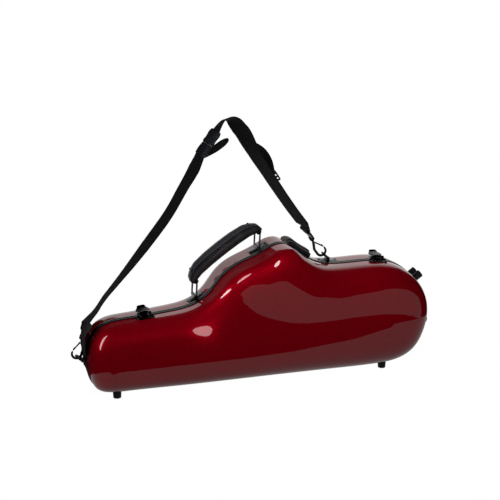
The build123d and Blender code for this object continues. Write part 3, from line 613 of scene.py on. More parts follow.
def band_mesh(name, path, stands_for, turn=None, round_end=False):
    """Flat webbing along a path; turn gives the band's twist in degrees at each share of it."""
    line, length = even(path, band_step)
    count = len(line)
    along = np.gradient(line, axis=0)
    along /= np.linalg.norm(along, axis=1)[:, None]
    across = np.array((0.0, 1.0, 0.0))
    shares = np.linspace(-1, 1, across_cells + 1)
    points, marks = [], []
    for i in range(count):
        share = i / (count - 1)
        normal = np.cross(along[i], across)
        normal /= np.linalg.norm(normal)
        angle = math.radians(np.interp(share, *turn)) if turn else 0.0
        wide = across * math.cos(angle) + normal * math.sin(angle)
        thick = np.cross(along[i], wide)
        half = webbing_width / 2
        left = length * (1 - share)
        if round_end and left < half:
            half *= max(0.05, math.sqrt(1 - (1 - left / half) ** 2))
        for face in (1, -1):
            for s in shares[::face]:
                edge = webbing_thickness / 2 * (1 - 0.45 * abs(s) ** 12)
                points.append(line[i] + wide * s * half + thick * face * edge)
                marks.append((share * length * 1000, s * half * 1000 + face * 60))
    mesh = bpy.data.meshes.new(name)
    mesh.from_pydata([tuple(p) for p in points], [], closed_faces(count, 2 * len(shares)))
    layer = mesh.uv_layers.new(name="band")
    for polygon in mesh.polygons:
        for corner in polygon.loop_indices:
            layer.data[corner].uv = marks[mesh.loops[corner].vertex_index]
    smoothed(mesh)
    mesh.materials.append(webbing)
    made = in_scene(name, mesh)
    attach(made, "case")
    if stands_for:
        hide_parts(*stands_for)
    return made, line, length


print("band helpers ready")

# %% [markdown]
# ## Four ways to make a fitting
# A loft joins rings of points, for anything moulded. A tube follows a bent wire, thicker where the
# wire is forged. A lathe turns a profile round an axis. And where the solid already has the right
# shape, a copy of it with its sharp edges rounded is all that light needs: a real edge always shows
# a thin bright line.

# %% Loft, tube, lathe and rounded copy
sharp_edge = 28.0


def joined(*shapes):
    """One list of points and faces from several."""
    points, faces = [], []
    for more_points, more_faces in shapes:
        start = len(points)
        points.extend([tuple(p) for p in more_points])
        faces.extend([tuple(i + start for i in face) for face in more_faces])
    return points, faces


def loft(rings, closed=False):
    """Skin over rings that have the same number of points, with flat ends."""
    points = [tuple(p) for ring in rings for p in ring]
    if closed:
        return points, grid_faces(len(rings), len(rings[0]), wrap_columns=True, wrap_rows=True)
    return points, closed_faces(len(rings), len(rings[0]))


def oval(half_width, half_height, power=2.0, count=32):
    """Points round an oval; a higher power makes it squarer."""
    angles = np.linspace(0, 2 * math.pi, count, endpoint=False)
    c, s = np.cos(angles), np.sin(angles)
    return np.column_stack([half_width * np.sign(c) * np.abs(c) ** (2 / power),
                            half_height * np.sign(s) * np.abs(s) ** (2 / power)])


def rounded_path(corners, radii, closed=False):
    """Polyline with its corners rounded to arcs."""
    corners = [Vector(c) for c in corners]
    count = len(corners)
    path = []
    for i, (here, radius) in enumerate(zip(corners, radii)):
        if radius <= 0 or (not closed and i in (0, count - 1)):
            path.append(here)
            continue
        back = (corners[i - 1] - here).normalized()
        on = (corners[(i + 1) % count] - here).normalized()
        half = back.angle(on) / 2
        reach = radius / math.tan(half)
        centre = here + (back + on).normalized() * (radius / math.sin(half))
        first, last = here + back * reach - centre, here + on * reach - centre
        steps = max(3, int(math.degrees(math.pi - 2 * half) / 9))
        sweep = first.angle(last)
        for k in range(steps + 1):
            share = k / steps
            path.append(centre + (first * math.sin((1 - share) * sweep)
                                  + last * math.sin(share * sweep)) / math.sin(sweep))
    return np.array([tuple(p) for p in path])


def tube(path, radius, closed=False, sides=18):
    """Round wire along a path; radius is one value or one for each point."""
    path = np.asarray(path, dtype=float)
    count = len(path)
    radius = np.full(count, radius) if np.isscalar(radius) else np.asarray(radius)
    ahead = np.roll(path, -1, axis=0) - np.roll(path, 1, axis=0)
    if not closed:
        ahead[0], ahead[-1] = path[1] - path[0], path[-1] - path[-2]
    ahead /= np.linalg.norm(ahead, axis=1)[:, None]
    guide = np.array((0.0, 1.0, 0.0)) if abs(ahead[0][1]) < 0.9 else np.array((1.0, 0.0, 0.0))
    rings = []
    for i in range(count):
        first = guide - ahead[i] * guide.dot(ahead[i])
        first /= np.linalg.norm(first)
        guide = first
        second = np.cross(ahead[i], first)
        circle = oval(radius[i], radius[i], count=sides)
        rings.append(path[i] + circle[:, :1] * first + circle[:, 1:] * second)
    return loft(rings, closed)


def lathe(centre, axis, profile, sides=28):
    """Turned piece; the profile gives a height along the axis and a radius."""
    centre, axis = Vector(centre), Vector(axis).normalized()
    first = axis.orthogonal().normalized()
    second = axis.cross(first)
    turns = np.linspace(0, 2 * math.pi, sides, endpoint=False)
    return loft([[centre + axis * height + (first * math.cos(a) + second * math.sin(a)) * radius
                  for a in turns] for height, radius in profile])


def bodied(node):
    """Body that a solid belongs to."""
    return frame["nodes"][node]["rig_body"]


def dressed(name, shape, node, slot, finish):
    """Piece from points and faces in millimetres, in the stead of a solid."""
    return make_piece(name, *shape, bodied(node), slot, finish, [node])


def solid_copy(node, name, finish):
    """The mesh of a solid once more, in another finish."""
    mesh = frame["nodes"][node].data.copy()
    mesh.materials.clear()
    mesh.materials.append(finish)
    return in_scene(name, mesh)


def rounded_copy(node, finish, width, segments=3):
    """Copy of a solid with its sharp edges rounded by a width in millimetres."""
    made = solid_copy(node, node + "_piece", finish)
    mesh = made.data
    work = bmesh.new()
    work.from_mesh(mesh)
    bmesh.ops.remove_doubles(work, verts=work.verts, dist=2e-5)
    bmesh.ops.dissolve_limit(work, angle_limit=math.radians(3), verts=work.verts, edges=work.edges)
    work.to_mesh(mesh)
    work.free()
    settle(made, ("BEVEL", {"width": width / 1000, "segments": segments, "limit_method": "ANGLE",
                            "angle_limit": math.radians(sharp_edge)}),
           ("WEIGHTED_NORMAL", {"keep_sharp": True}))
    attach(made, bodied(node))
    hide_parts(node)
    return made


print("loft, tube, lathe and rounded copy ready")

# %% [markdown]
# ## Latches
# A toggle latch is four stampings: a base with two ears, a shield-shaped lever with a rolled lip,
# a wire bail, and a keeper with a hooked lip. The lever is pressed from sheet, so it is drawn as a
# loft across its length with bands pressed into it. All sizes are in the local frame of the latch.

# %% Latch levers, bases and keepers
pivot_v, pivot_h = -8.0, 6.0


def layers(place, sizes, centre, half_width, half_height, power, sides, taper=0.0):
    """Stack of ovals square to the seam; each size is a height and a growth, from low to high."""
    rings = []
    for h, grow in sizes:
        rings.append([local(place, u * (1 + taper * v), v + centre, h)
                      for u, v in oval(half_width + grow, half_height + grow, power, sides)])
    return loft(rings)


def latch_lever(place):
    """Shield-shaped lever: rings of a flat oval from the pivot to the rolled lip."""
    rings = []
    for v in np.concatenate([np.linspace(-11.2, -9.6, 5), np.linspace(-9, 13, 34),
                             np.linspace(13.4, 16.4, 8)]):
        start = min(1.0, math.sqrt(max(0.0, (v + 11.3) / 1.8)))
        width = np.interp(v, [-11, -6, -4.4, -2, 0, 4, 8, 12, 15, 16.4],
                          [7.6, 8.4, 8.6, 11.2, 12.2, 12.6, 11.6, 9.0, 7.4, 6.2])
        rise = np.interp(v, [-11.2, -8, -3, 4, 10, 13, 15, 16.4], [5.6, 7.6, 8.4, 9.0, 9.4, 10.0, 11.2, 12.6])
        band = 0.32 * max(0.0, math.sin((v + 3.0) * math.pi / 2.6)) if -3 < v < 10 else 0.0
        thick = np.interp(v, [-11.2, -9, -4, 12, 15, 16.4], [1.6, 4.6, 1.7, 1.5, 1.9, 1.2]) * start
        rings.append([local(place, u, v, rise + h + 1.1 * (1 - (u / 12.0) ** 2) + (band if h > 0 else 0.0))
                      for u, h in oval(width * (0.6 + 0.4 * start), thick / 2, 3.4, 36)])
    lip = tube([local(place, u, 15.2 + 1.2 * (1 - (u / 8) ** 2), 12.0) for u in np.linspace(-7.6, 7.6, 15)],
               [0.6, 1.3, 1.6] + [1.7] * 9 + [1.6, 1.3, 0.6])
    lug = tube([local(place, 0, -2.0, h) for h in (6.9, 5.4, 3.4)], [3.2, 2.6, 2.4], sides=16)
    knuckle = tube([local(place, u, pivot_v, pivot_h) for u in (-8.5, -8.1, 8.1, 8.5)], [2.4, 3.0, 3.0, 2.4])
    return joined(loft(rings), lip, lug, knuckle)


def latch_base(place):
    """Base plate with a raised shield, two ears, two wings and two eyelets."""
    plate = []
    for h, grow in ((-1.5, 0.0), (1.1, 0.0), (1.6, -0.25), (1.8, -0.8)):
        plate.append([local(place, u * (1.0 - 0.10 * max(0.0, -v / 9.4)), v - 13.6, h)
                      for u, v in oval(17.0 + grow, 9.4 + grow, 5.0, 44)])
    shield = layers(place, ((1.0, 0.0), (2.5, -0.3), (3.0, -0.9), (3.1, -1.6)), -14.2, 8.6, 7.2, 2.6, 36,
                    taper=0.16 / 7.5)
    pieces = [loft(plate), shield]
    for sign in (-1, 1):
        ear = []
        for u in (8.9, 9.2, 11.9, 12.3):
            size = 3.0 if 9 < u < 12 else 2.6
            ear.append([local(place, sign * u, pivot_v + a, max(1.0, pivot_h + b))
                        for a, b in oval(size, size, 2.0, 24)])
        web = [[local(place, sign * u, pivot_v + a, b)
                for a, b in ((-3.6, 1.2), (3.6, 1.2), (2.9, 6.0), (-2.9, 6.0))] for u in (9.0, 12.2)]
        wing = [[local(place, sign * 14.6 + a, -10.4 + b, h) for a, b in oval(size * 0.7, size, 2.0, 20)]
                for h, size in ((1.2, 3.3), (2.8, 3.2), (3.7, 2.6), (4.2, 1.6))]
        cup = lathe(local(place, sign * 4.1, -16.8, 3.0), place[3],
                    [(0.0, 2.1), (0.7, 2.0), (0.9, 1.6), (0.7, 1.2), (-0.6, 1.1)], 20)
        pieces += [loft(ear), loft(web), loft(wing), cup]
    return joined(*pieces)


def latch_keeper(place):
    """Keeper plate with a hooked lip."""
    plate = layers(place, ((-1.5, 0.0), (0.7, 0.0), (1.0, -0.5)), 11.75, 6.5, 7.25, 5.0, 32)
    lip = []
    for u in np.linspace(-5.4, 5.4, 11):
        size = 1.0 if abs(u) < 5 else 0.75
        lip.append([local(place, u, 6.5 + a, 0.9 + b) for a, b in oval(1.3 * size, 1.1 * size, 2.6, 20)])
    return joined(plate, loft(lip))


for label, place in (("narrow", narrow_latch_place), ("bell", bell_latch_place)):
    dressed(label + "_shield_lever", latch_lever(place), label + "_latch_lever", "gunmetal", nickel)
    dressed(label + "_stamped_base", latch_base(place), label + "_latch_base", "gunmetal", nickel)
    dressed(label + "_stamped_keeper", latch_keeper(place), label + "_latch_keeper", "gunmetal", nickel)
    corners = [(0, -2.0), (7.2, -2.0), (7.2, 9.5), (-7.2, 9.5), (-7.2, -2.0)]
    wire = rounded_path([local(place, u, v, 3.4) for u, v in corners], [0, 1.5, 1.5, 1.5, 1.5], closed=True)
    dressed(label + "_bail_wire", tube(wire, 1.0, closed=True), label + "_latch_bail", "gunmetal", nickel)
    pin = [local(place, u, pivot_v, pivot_h) for u in (-13.2, -12.9, -12.4, 12.4, 12.9, 13.2)]
    dressed(label + "_peened_pin", tube(pin, [0.7, 1.5, 1.7, 1.7, 1.5, 0.7]), label + "_latch_pin",
            "gunmetal", steel)
print("latches")

# %% [markdown]
# ## Screws
# Every screw is a pan head with a cross recess. The head is a fine round grid whose points sink
# along a cross in the middle.

# %% Screws
head_radius, recess_depth = 2.6, 0.7
head_shares = (1.0, 1.0, 0.94, 0.84, 0.7, 0.6, 0.5, 0.4, 0.3, 0.2, 0.1)


def screw_head(centre, axis, rise=1.3):
    """Domed head with a cross recess, as rings round its axis."""
    centre, axis = Vector(centre), Vector(axis).normalized()
    first = axis.orthogonal().normalized()
    second = axis.cross(first)
    rings = []
    for k, share in enumerate(head_shares):
        ring = []
        for a in np.linspace(0, 2 * math.pi, 32, endpoint=False):
            x, y = share * head_radius * math.cos(a), share * head_radius * math.sin(a)
            height = -0.3 if k == 0 else rise * math.sqrt(max(0.0, 1 - (0.92 * share) ** 2))
            if share < 0.65 and min(abs(x), abs(y)) < 0.34:
                height -= recess_depth
            ring.append(centre + first * x + second * y + axis * height)
        rings.append(ring)
    return loft(rings)


leaf_length, leaf_middle, foot_line = 57.0, 11.25, stand_height - 1.5
front_heads, back_heads = [], []
for x in (0.0955 * case_length, 0.7962 * case_length):
    for share in (-0.36, 0.0, 0.36):
        for heads, y in ((front_heads, -leaf_middle), (back_heads, leaf_middle)):
            heads.append(screw_head((x + share * leaf_length, y, foot_line), (0, 0, -1), rise=0.95))
for place in (narrow_latch_place, bell_latch_place):
    back_heads.append(screw_head(local(place, 0, 13.4, 0.95), place[3]))
    for u in (-13.5, 13.5):
        front_heads.append(screw_head(local(place, u, -19.5, 1.75), place[3], rise=1.7))
for place, offset, reach in ((narrow_handle_place, handle_depth, 15.5),
                             (bell_handle_place, handle_depth, 15.5),
                             (narrow_eye_place, strap_depth, 8.5), (bell_eye_place, strap_depth, 15.5)):
    for u in (-reach, reach):
        back_heads.append(screw_head(local(place, u, offset, 1.55), place[3]))
dressed("front_screw_heads", joined(*front_heads), "front_screws", "screw_steel", steel)
dressed("back_screw_heads", joined(*back_heads), "back_screws", "screw_steel", steel)
print(len(front_heads) + len(back_heads), "screw heads")

# %% [markdown]
# ## Handle
# Two bent wires stand in stamped brackets, and the grip hangs between them: a steel strip inside
# a padded leather sleeve, with a flat strap sewn over its top and a welt along each side where
# the leather is joined. The padding is blown up as cloth, so the leather swells between its seams.

# %% Rings and grip frame
ring_wire = 1.6
ring_feet = [Vector((200.707, handle_depth, 156.713)), Vector((317.818, handle_depth, 237.927))]
ring_tops = [Vector((202.207, handle_depth, 184.713)), Vector((319.318, handle_depth, 265.927))]
for label, foot, top in zip(("narrow", "bell"), ring_feet, ring_tops):
    side = Vector((0.0, 15.0, 0.0))
    wire = rounded_path([foot, foot + side, top + side, top - side, foot - side], [0, 4, 4, 4, 4],
                        closed=True)
    dressed(label + "_ring_wire", tube(wire, ring_wire, closed=True), label + "_handle_ring", "gunmetal",
            nickel)
for label in ("narrow_handle", "bell_handle", "narrow_strap", "bell_strap"):
    rounded_copy(label + "_bracket", nickel, 0.45)
grip_along = (ring_tops[1] - ring_tops[0]).normalized()
grip_up = grip_along.cross(Vector((0.0, 1.0, 0.0)))
grip_span = (ring_tops[1] - ring_tops[0]).length
grip_rows = np.array([
    (-0.055, 2.0, 4.6, 9.5), (-0.035, 4.0, 8.2, 11.6), (0.03, 8.5, 11.0, 12.4), (0.12, 13.0, 12.2, 12.8),
    (0.30, 15.5, 12.4, 14.6), (0.50, 16.2, 12.4, 15.2), (0.70, 15.5, 12.4, 14.6), (0.88, 13.0, 12.2, 12.8),
    (0.97, 8.5, 11.0, 12.4), (1.035, 4.0, 8.2, 11.6), (1.055, 2.0, 4.6, 9.5)])


def grip_point(share, turn, grow=0.0, power=2.3):
    """Point on the grip's skin; turn goes from the back side over the top to the front, in degrees."""
    rise, high, wide = [np.interp(share, grip_rows[:, 0], grip_rows[:, k]) for k in (1, 2, 3)]
    c, s = math.cos(math.radians(turn)), math.sin(math.radians(turn))
    y = (wide + grow) * math.copysign(abs(c) ** (2 / power), c)
    z = (high + grow) * math.copysign(abs(s) ** (2 / power), s) * (0.92 if s < 0 else 1.0)
    return (ring_tops[0] + grip_along * (share * grip_span) + Vector((0.0, y, 0.0)) + grip_up * (rise + z))


swell_frames, swell_pressure, leather_swell = 20, 4.0, 0.0016


def swell(piece, cap):
    """Blows a closed skin up as cloth, and lets no point move further than the cap."""
    start = np.array([tuple(v.co) for v in piece.data.vertices])
    cloth = piece.modifiers.new("swell", "CLOTH")
    cloth.settings.use_pressure = True
    cloth.settings.uniform_pressure_force = swell_pressure
    cloth.settings.effector_weights.gravity = 0.0
    cloth.settings.tension_stiffness = cloth.settings.compression_stiffness = 25.0
    cloth.settings.bending_stiffness = 2.0
    for step in range(1, swell_frames + 1):
        bpy.context.scene.frame_set(step)
    graph = bpy.context.evaluated_depsgraph_get()
    blown = np.array([tuple(v.co) for v in piece.evaluated_get(graph).data.vertices])
    piece.modifiers.clear()
    bpy.context.scene.frame_set(1)
    moved = blown - start
    far = np.linalg.norm(moved, axis=1)[:, None]
    moved *= np.minimum(1.0, cap / np.maximum(far, 1e-9))
    piece.data.vertices.foreach_set("co", (start + moved).ravel())
    piece.data.update()
    return piece


rings = []
for share in np.concatenate([np.linspace(-0.055, -0.02, 5), np.linspace(0.0, 1.0, 56),
                             np.linspace(1.02, 1.055, 5)]):
    pinch = 1.0 + 0.5 * math.cos(share * math.pi * 14) * (0.02 < share < 0.98)
    rings.append([grip_point(share, turn, -0.6 - 0.12 * pinch) for turn in np.arange(0, 360, 7.5)])
grip_skin = dressed("grip_leather", loft(rings), "grip_pad", "leather_black", leather)
swell(grip_skin, leather_swell)
settle(grip_skin, ("SUBSURF", {"levels": 1}))
print("grip leather", len(grip_skin.data.vertices), "points")

# %% [markdown]
# ## What is sewn and riveted on the grip
# A welt runs along each side, a bridle-leather strap over the top, and beside each of them a line of
# stitches. Two rivets at each end hold the strap, and a loop of leather goes round each ring.

# %% Welts, strap, stitches and rivets
welts = [tube([grip_point(s, turn, 0.35) for s in np.linspace(-0.03, 1.03, 60)], 1.0, sides=12)
         for turn in (22, 158)]
welts.append(tube([grip_point(s, 200, 0.1) for s in np.linspace(0.02, 0.98, 60)], 0.7, sides=10))
make_piece("grip_welts", *joined(*welts), "grip", "leather_black", leather)
strap_rings = []
for share in np.linspace(-0.045, 1.045, 64):
    ring = [grip_point(share, turn, 1.5 - 0.9 * abs((turn - 90) / 42) ** 6)
            for turn in np.linspace(48, 132, 15)]
    strap_rings.append(ring + [grip_point(share, turn, -0.2) for turn in np.linspace(132, 48, 15)])
make_piece("grip_top_strap", *loft(strap_rings), "grip", "leather_black", strap_leather)


stitch_step, stitch_share, thread_radius = 2.6 * 1.45, 0.68, 0.28


def stitches(points):
    """Short thread stitches along a line of points, with gaps between."""
    line = even(np.array([tuple(p) for p in points]), stitch_step)[0]
    pieces = []
    for a, b in zip(line[:-1], line[1:]):
        way = (b - a) * stitch_share
        pieces.append(tube([a + way * s for s in np.linspace(0, 1, 5)],
                           [thread_radius * thick for thick in (0.5, 1, 1, 1, 0.5)], sides=8))
    return joined(*pieces)


seams = [stitches([grip_point(s, turn, 1.55) for s in np.linspace(0.0, 1.0, 40)]) for turn in (55, 125)]
seams += [stitches([grip_point(s, turn, 0.25) for s in np.linspace(0.0, 1.0, 40)]) for turn in (30, 150)]
make_piece("grip_stitches", *joined(*seams), "grip", "leather_black", thread)
rivets = []
for share in (0.045, 0.955):
    for turn in (66, 114):
        middle = grip_point(share, turn, 1.2)
        out = (middle - grip_point(share, turn, -3.0)).normalized()
        rivets.append(lathe(middle, out, [(-0.5, 2.2), (0.6, 2.2), (1.1, 1.7), (1.4, 0.9), (1.5, 0.2)], 24))
make_piece("grip_rivets", *joined(*rivets), "grip", "gunmetal", nickel)
loops = []
for top in ring_tops:
    loops.append(loft([[top + Vector((size * math.cos(a), y, size * math.sin(a)))
                        for a in np.linspace(0, 2 * math.pi, 36, endpoint=False)]
                       for y, size in ((-8.6, 4.5), (-8.2, 4.9), (8.2, 4.9), (8.6, 4.5))]))
make_piece("grip_end_loops", *joined(*loops), "grip", "leather_black", leather, ["grip_core"])
print("handle")

# %% [markdown]
# ## Shoulder corner piece, feet and hinges
# The corner piece is moulded in one go, so its steps have soft edges and its top a slight crown.
# The feet are plain rubber with a rounded tip.

# %% Corner piece, feet and hinges
def corner_piece():
    """Loft across the shoulder, along the seam from its low lead to its blunt end."""
    section = [(4.2, -2.5), (4.2, 3.0), (4.4, 7.0), (5.3, 8.4), (7.0, 9.0), (11.0, 9.1), (13.0, 9.2),
               (14.0, 10.0), (14.7, 11.2), (15.8, 12.0), (20.0, 12.3), (30.0, 12.4), (38.0, 12.0),
               (42.5, 11.0), (45.0, 8.6), (46.0, 5.0), (46.0, -2.5)]
    rings = []
    low, high = 0.5900, 0.6570
    shares = np.concatenate([[0.0, 0.01, 0.03, 0.06], np.linspace(0.1, 0.94, 26), [0.965, 0.985, 0.995, 1.0]])
    for share in shares:
        place = seam_frame((low + (high - low) * share) * case_length, "x", True)
        lead = np.interp(share, [0.0, 0.02, 0.06, 0.14, 0.9, 0.97, 1.0], [0.4, 0.6, 0.8, 1.0, 1.0, 0.96, 0.8])
        rings.append([local(place, 0, v, h * lead if h > 0 else h) for v, h in section])
    return loft(rings)


corner = dressed("moulded_corner_piece", corner_piece(), "shoulder_bumper", "bumper_black", nylon)
settle(corner, ("SUBSURF", {"levels": 1}))
for kind, rounding in (("feet", 0.9), ("end_feet", 1.3)):
    for side in ("front", "back"):
        rounded_copy(f"{side}_{kind}", rubber, rounding)
for label in ("narrow", "bell"):
    for side in ("front", "back"):
        rounded_copy(f"{label}_hinge_{side}_leaf", nickel, 0.25, 2)
rounded_copy("hinge_pins", steel, 0.3, 2)
print("corner piece, feet and hinges")

# %% [markdown]
# ## D-rings and snap hooks
# A trigger hook is cast: its bow is thick at the bottom of the loop and slim at the tip, its
# barrel is turned with two grooves, and a sprung bar closes it.

# %% Rings and hooks
bow_radius, hook_clearance = 6.3, 0.3
barrel_profile = [
    (-1.2, 1.6), (-0.6, 3.4), (0.4, 4.3), (1.4, 4.6), (2.6, 4.6), (3.0, 4.1), (3.4, 4.1), (3.8, 4.6),
    (6.4, 4.6), (6.8, 4.1), (7.2, 4.1), (7.6, 4.6), (8.4, 4.4), (9.0, 3.6), (9.0, 1.7)]
stem_profile = [(0.0, 1.5), (5.2, 1.6), (6.2, 2.6), (7.4, 3.0), (9.4, 2.6), (10.2, 1.2)]


def snap_hook(tip, lean, hand):
    """Shapes of the hook's body, gate and swivel eye, from where the ring's wire lies in it."""
    up = Vector((math.sin(math.radians(lean)), 0.0, math.cos(math.radians(lean))))
    side = Vector((up.z, 0.0, -up.x)) * hand
    centre = tip + up * (bow_radius - ring_wire - hook_clearance)
    corners = [centre + up * 29, centre + up * 21.5 + side * 2.8, centre + up * 11 + side * 8.5,
               centre - up * 8.5 + side * 8.5, centre - up * 8.5 - side * 8.5, centre + up * 3.0 - side * 8.5]
    path = rounded_path(corners, [0, 3.0, 6.0, 8.42, 8.42, 0])
    path, _ = even(path, 0.8)
    share = np.linspace(0, 1, len(path))
    thick = np.interp(share, [0, 0.12, 0.3, 0.6, 0.78, 0.95, 1.0], [2.0, 2.5, 2.5, 2.35, 2.2, 1.9, 1.0])
    body = tube(path, thick, sides=20)
    barrel = lathe(centre + up * 27.8, up, barrel_profile, 32)
    pivot = centre + up * 20 - side * 0.8
    low = centre + up * (3.0 + 1.6) - side * 8.3
    gate = tube([pivot.lerp(low, s) for s in np.linspace(0, 1, 14)], [1.3] * 11 + [1.35, 1.5, 0.9],
                sides=16)
    ear = tube([pivot + Vector((0, y, 0)) for y in (-2.5, -2.3, 2.3, 2.5)], [0.9, 1.35, 1.35, 0.9],
               sides=16)
    nub = lathe(low.lerp(pivot, 0.28) - side * 0.9, -side,
                [(-0.6, 1.4), (0.5, 1.4), (1.1, 1.1), (1.5, 0.4)], 16)
    stem_top = centre + up * (27.8 + 9.0 + 4.0)
    across = Vector((0.0, 21.8, 0.0))
    eye_top = stem_top + up * 12
    eye = rounded_path([stem_top, stem_top + across, eye_top + across, eye_top - across, stem_top - across],
                       [0, 3.0, 3.0, 3.0, 3.0], closed=True)
    stem = lathe(stem_top - up * 8.4, up, stem_profile, 20)
    return joined(body, barrel), joined(gate, ear, nub), joined(tube(eye, 2.0, closed=True), stem), eye_top


# For each end: the ring's bar, its tip in the hook, the hook's lean in degrees, and its open side.
hook_places = {
    "narrow": (Vector((-4.777, strap_depth, 57.825)), Vector((-15.415, strap_depth, 66.137)), 19.0, 1),
    "bell": (Vector((452.358, strap_depth, 205.718)), Vector((443.325, strap_depth, 215.75)), -36.5, -1)}
eye_tops = {}
for label, (bar, tip, lean, hand) in hook_places.items():
    side = Vector((0.0, 10.0, 0.0))
    wire = tube(rounded_path([bar, bar + side, tip + side, tip - side, bar - side],
                             [0, 2.6, 9.2, 9.2, 2.6], closed=True), ring_wire, closed=True)
    dressed(label + "_ring_wire_bent", wire, label + "_d_ring", "gunmetal", nickel)
    body, gate, eye, eye_tops[label] = snap_hook(tip, lean, hand)
    dressed(label + "_cast_hook", body, label + "_hook_body", "gunmetal", nickel)
    dressed(label + "_sprung_gate", gate, label + "_hook_gate", "gunmetal", nickel)
    dressed(label + "_forged_eye", eye, label + "_swivel_eye", "gunmetal", nickel)
print("eyes", {k: [round(c, 1) for c in v] for k, v in eye_tops.items()})

# %% [markdown]
# ## Buckle
# The side-release buckle is two mouldings that click together: the plug, with ribs to grip it by,
# and the socket, open at both sides where the plug's prongs show. Each is a loft through squarish
# sections along the strap.

# %% Buckle
buckle_start = Vector((214.0, strap_depth, 411.0))
buckle_along = (Vector((243.0, strap_depth, 451.0)) - buckle_start).normalized()
buckle_out = buckle_along.cross(Vector((0.0, 1.0, 0.0)))


def on_buckle(x, y, z):
    """A point from the buckle's own directions: along the strap, across it, and outward."""
    return buckle_start + buckle_along * x + Vector((0.0, y, 0.0)) + buckle_out * z


def moulding(stations, power=4.5):
    """Loft through squarish sections; each station is a place, half width, half depth."""
    xs, widths, depths = [np.array(column) for column in zip(*stations)]
    rings = []
    for x in np.unique(np.concatenate([xs, np.linspace(xs[0], xs[-1], 24)])):
        ring = oval(np.interp(x, xs, widths), np.interp(x, xs, depths), power, 48)
        rings.append([on_buckle(x, y, z) for y, z in ring])
    return loft(rings)


plug = [moulding([
    (-1.3, 20.6, 3.0), (-0.6, 21.8, 4.2), (1.0, 22.5, 4.8), (8.0, 22.8, 5.3), (15.0, 21.0, 5.5),
    (20.5, 18.5, 5.5), (22.0, 18.0, 5.2), (22.5, 17.4, 4.6)])]
for x in (3.0, 6.2, 9.4, 12.6):
    for z in (5.1, -5.1):
        plug.append(tube([on_buckle(x, y, z * (1 - 0.1 * (y / 17) ** 2)) for y in np.linspace(-17, 17, 15)],
                         [0.3, 0.8] + [1.0] * 11 + [0.8, 0.3], sides=12))
socket = [moulding([
    (22.6, 18.6, 4.8), (23.2, 20.4, 5.4), (25.0, 21.6, 5.8), (28.0, 21.4, 6.0), (31.0, 18.6, 6.0),
    (36.0, 18.2, 6.0), (40.0, 20.8, 5.9), (43.0, 22.4, 5.7), (47.0, 21.8, 5.2), (49.6, 20.8, 4.4),
    (50.3, 20.0, 3.6), (50.7, 19.0, 2.6)])]
for z in (5.9, -5.9):
    ring = [on_buckle(35.0 + 8.0 * math.cos(a), 12.0 * math.sin(a), z)
            for a in np.linspace(0, 2 * math.pi, 48)[:-1]]
    socket.append(tube(ring, 0.7, closed=True, sides=10))
prongs = []
for sign in (-1, 1):
    prongs.append(loft([[on_buckle(x, sign * y + a, b) for a, b in oval(2.0, half, 2.6, 20)]
                        for x, y, half in ((26.5, 19.4, 1.2), (28.5, 20.2, 2.6), (31.5, 20.6, 3.2),
                                           (36.0, 20.4, 3.2), (39.0, 19.8, 2.4), (40.5, 19.2, 1.0))]))
buckle_plug = dressed("buckle_plug_moulding", joined(*plug, *prongs), "buckle_plug", "buckle_grey",
                      acetal)
buckle_socket = dressed("buckle_socket_moulding", joined(*socket), "buckle_socket", "buckle_grey", acetal)
print("buckle")

# %% [markdown]
# ## Slider
# The slider is a black frame with two bars across it. It lies on the outer face of the right
# stretch and leans with the twist that the webbing has there.

# %% Slider
bar_height = 3.2
slider_start = Vector((334.0, strap_depth, 375.0))
slider_along = (Vector((352.0, strap_depth, 347.0)) - slider_start).normalized()
slider_out = slider_along.cross(Vector((0.0, 1.0, 0.0)))
slider_turn = math.radians(-20.0)
slider_wide = Vector((0.0, 1.0, 0.0)) * math.cos(slider_turn) + slider_out * math.sin(slider_turn)
slider_face = slider_along.cross(slider_wide)


def on_slider(x, y, z):
    """A point from the slider's own directions: along the strap, across it, and outward."""
    return slider_start + slider_along * x + slider_wide * y + slider_face * z


outer_frame = [on_slider(12 + 10.4 * a, 21.4 * b, bar_height) for a, b in oval(1.0, 1.0, 9.0, 64)]
bars = [tube(outer_frame, 1.6, closed=True, sides=12)]
for x in (8.6, 15.4):
    bars.append(tube([on_slider(x, y, bar_height) for y in np.linspace(-20.6, 20.6, 12)], 1.5, sides=12))
slider_frame = dressed("strap_slider_bars", joined(*bars), "strap_slider", "gunmetal", acetal)
print("slider")

# %% [markdown]
# ## Soft inside
# Each shell is lined with plush over thin foam, and blocks of the same foam hold the instrument.
# A block is remeshed, a little smaller, and blown up as cloth: its edges turn round and its faces
# crown, as covered foam does.

# %% Linings, cradles and pads
lining_from, lining_to = wall + 0.4, wall + 6.2
for node, side, body in (("front_lining", -1, "lid"), ("back_lining", 1, "case")):
    lining = two_skins(node + "_plush", lining_from, lining_to, side, body, "plush", plush, node)


foam_swell, foam_voxel, foam_shrink = 0.0018, 0.004, 0.0012


def foam_block(node):
    """Covered foam in the shape of a solid, with rounded edges."""
    made = solid_copy(node, node + "_plush", plush)
    settle(made, ("REMESH", {"mode": "VOXEL", "voxel_size": foam_voxel}),
           ("DISPLACE", {"strength": -foam_shrink, "mid_level": 0.0}),
           ("SMOOTH", {"factor": 0.5, "iterations": 5}))
    swell(made, foam_swell)
    settle(made, ("SUBSURF", {"levels": 1}))
    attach(made, bodied(node))
    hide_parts(node)
    return made


for node in ("neck_end_cradle", "middle_cradle", "bell_cradle", "bow_cradle", "accessory_block",
             "lid_pad_tube", "lid_pad_bow"):
    foam_block(node)
frame["nodes"]["seam_seal"].data.materials.clear()
frame["nodes"]["seam_seal"].data.materials.append(rubber)
print("plush inside")
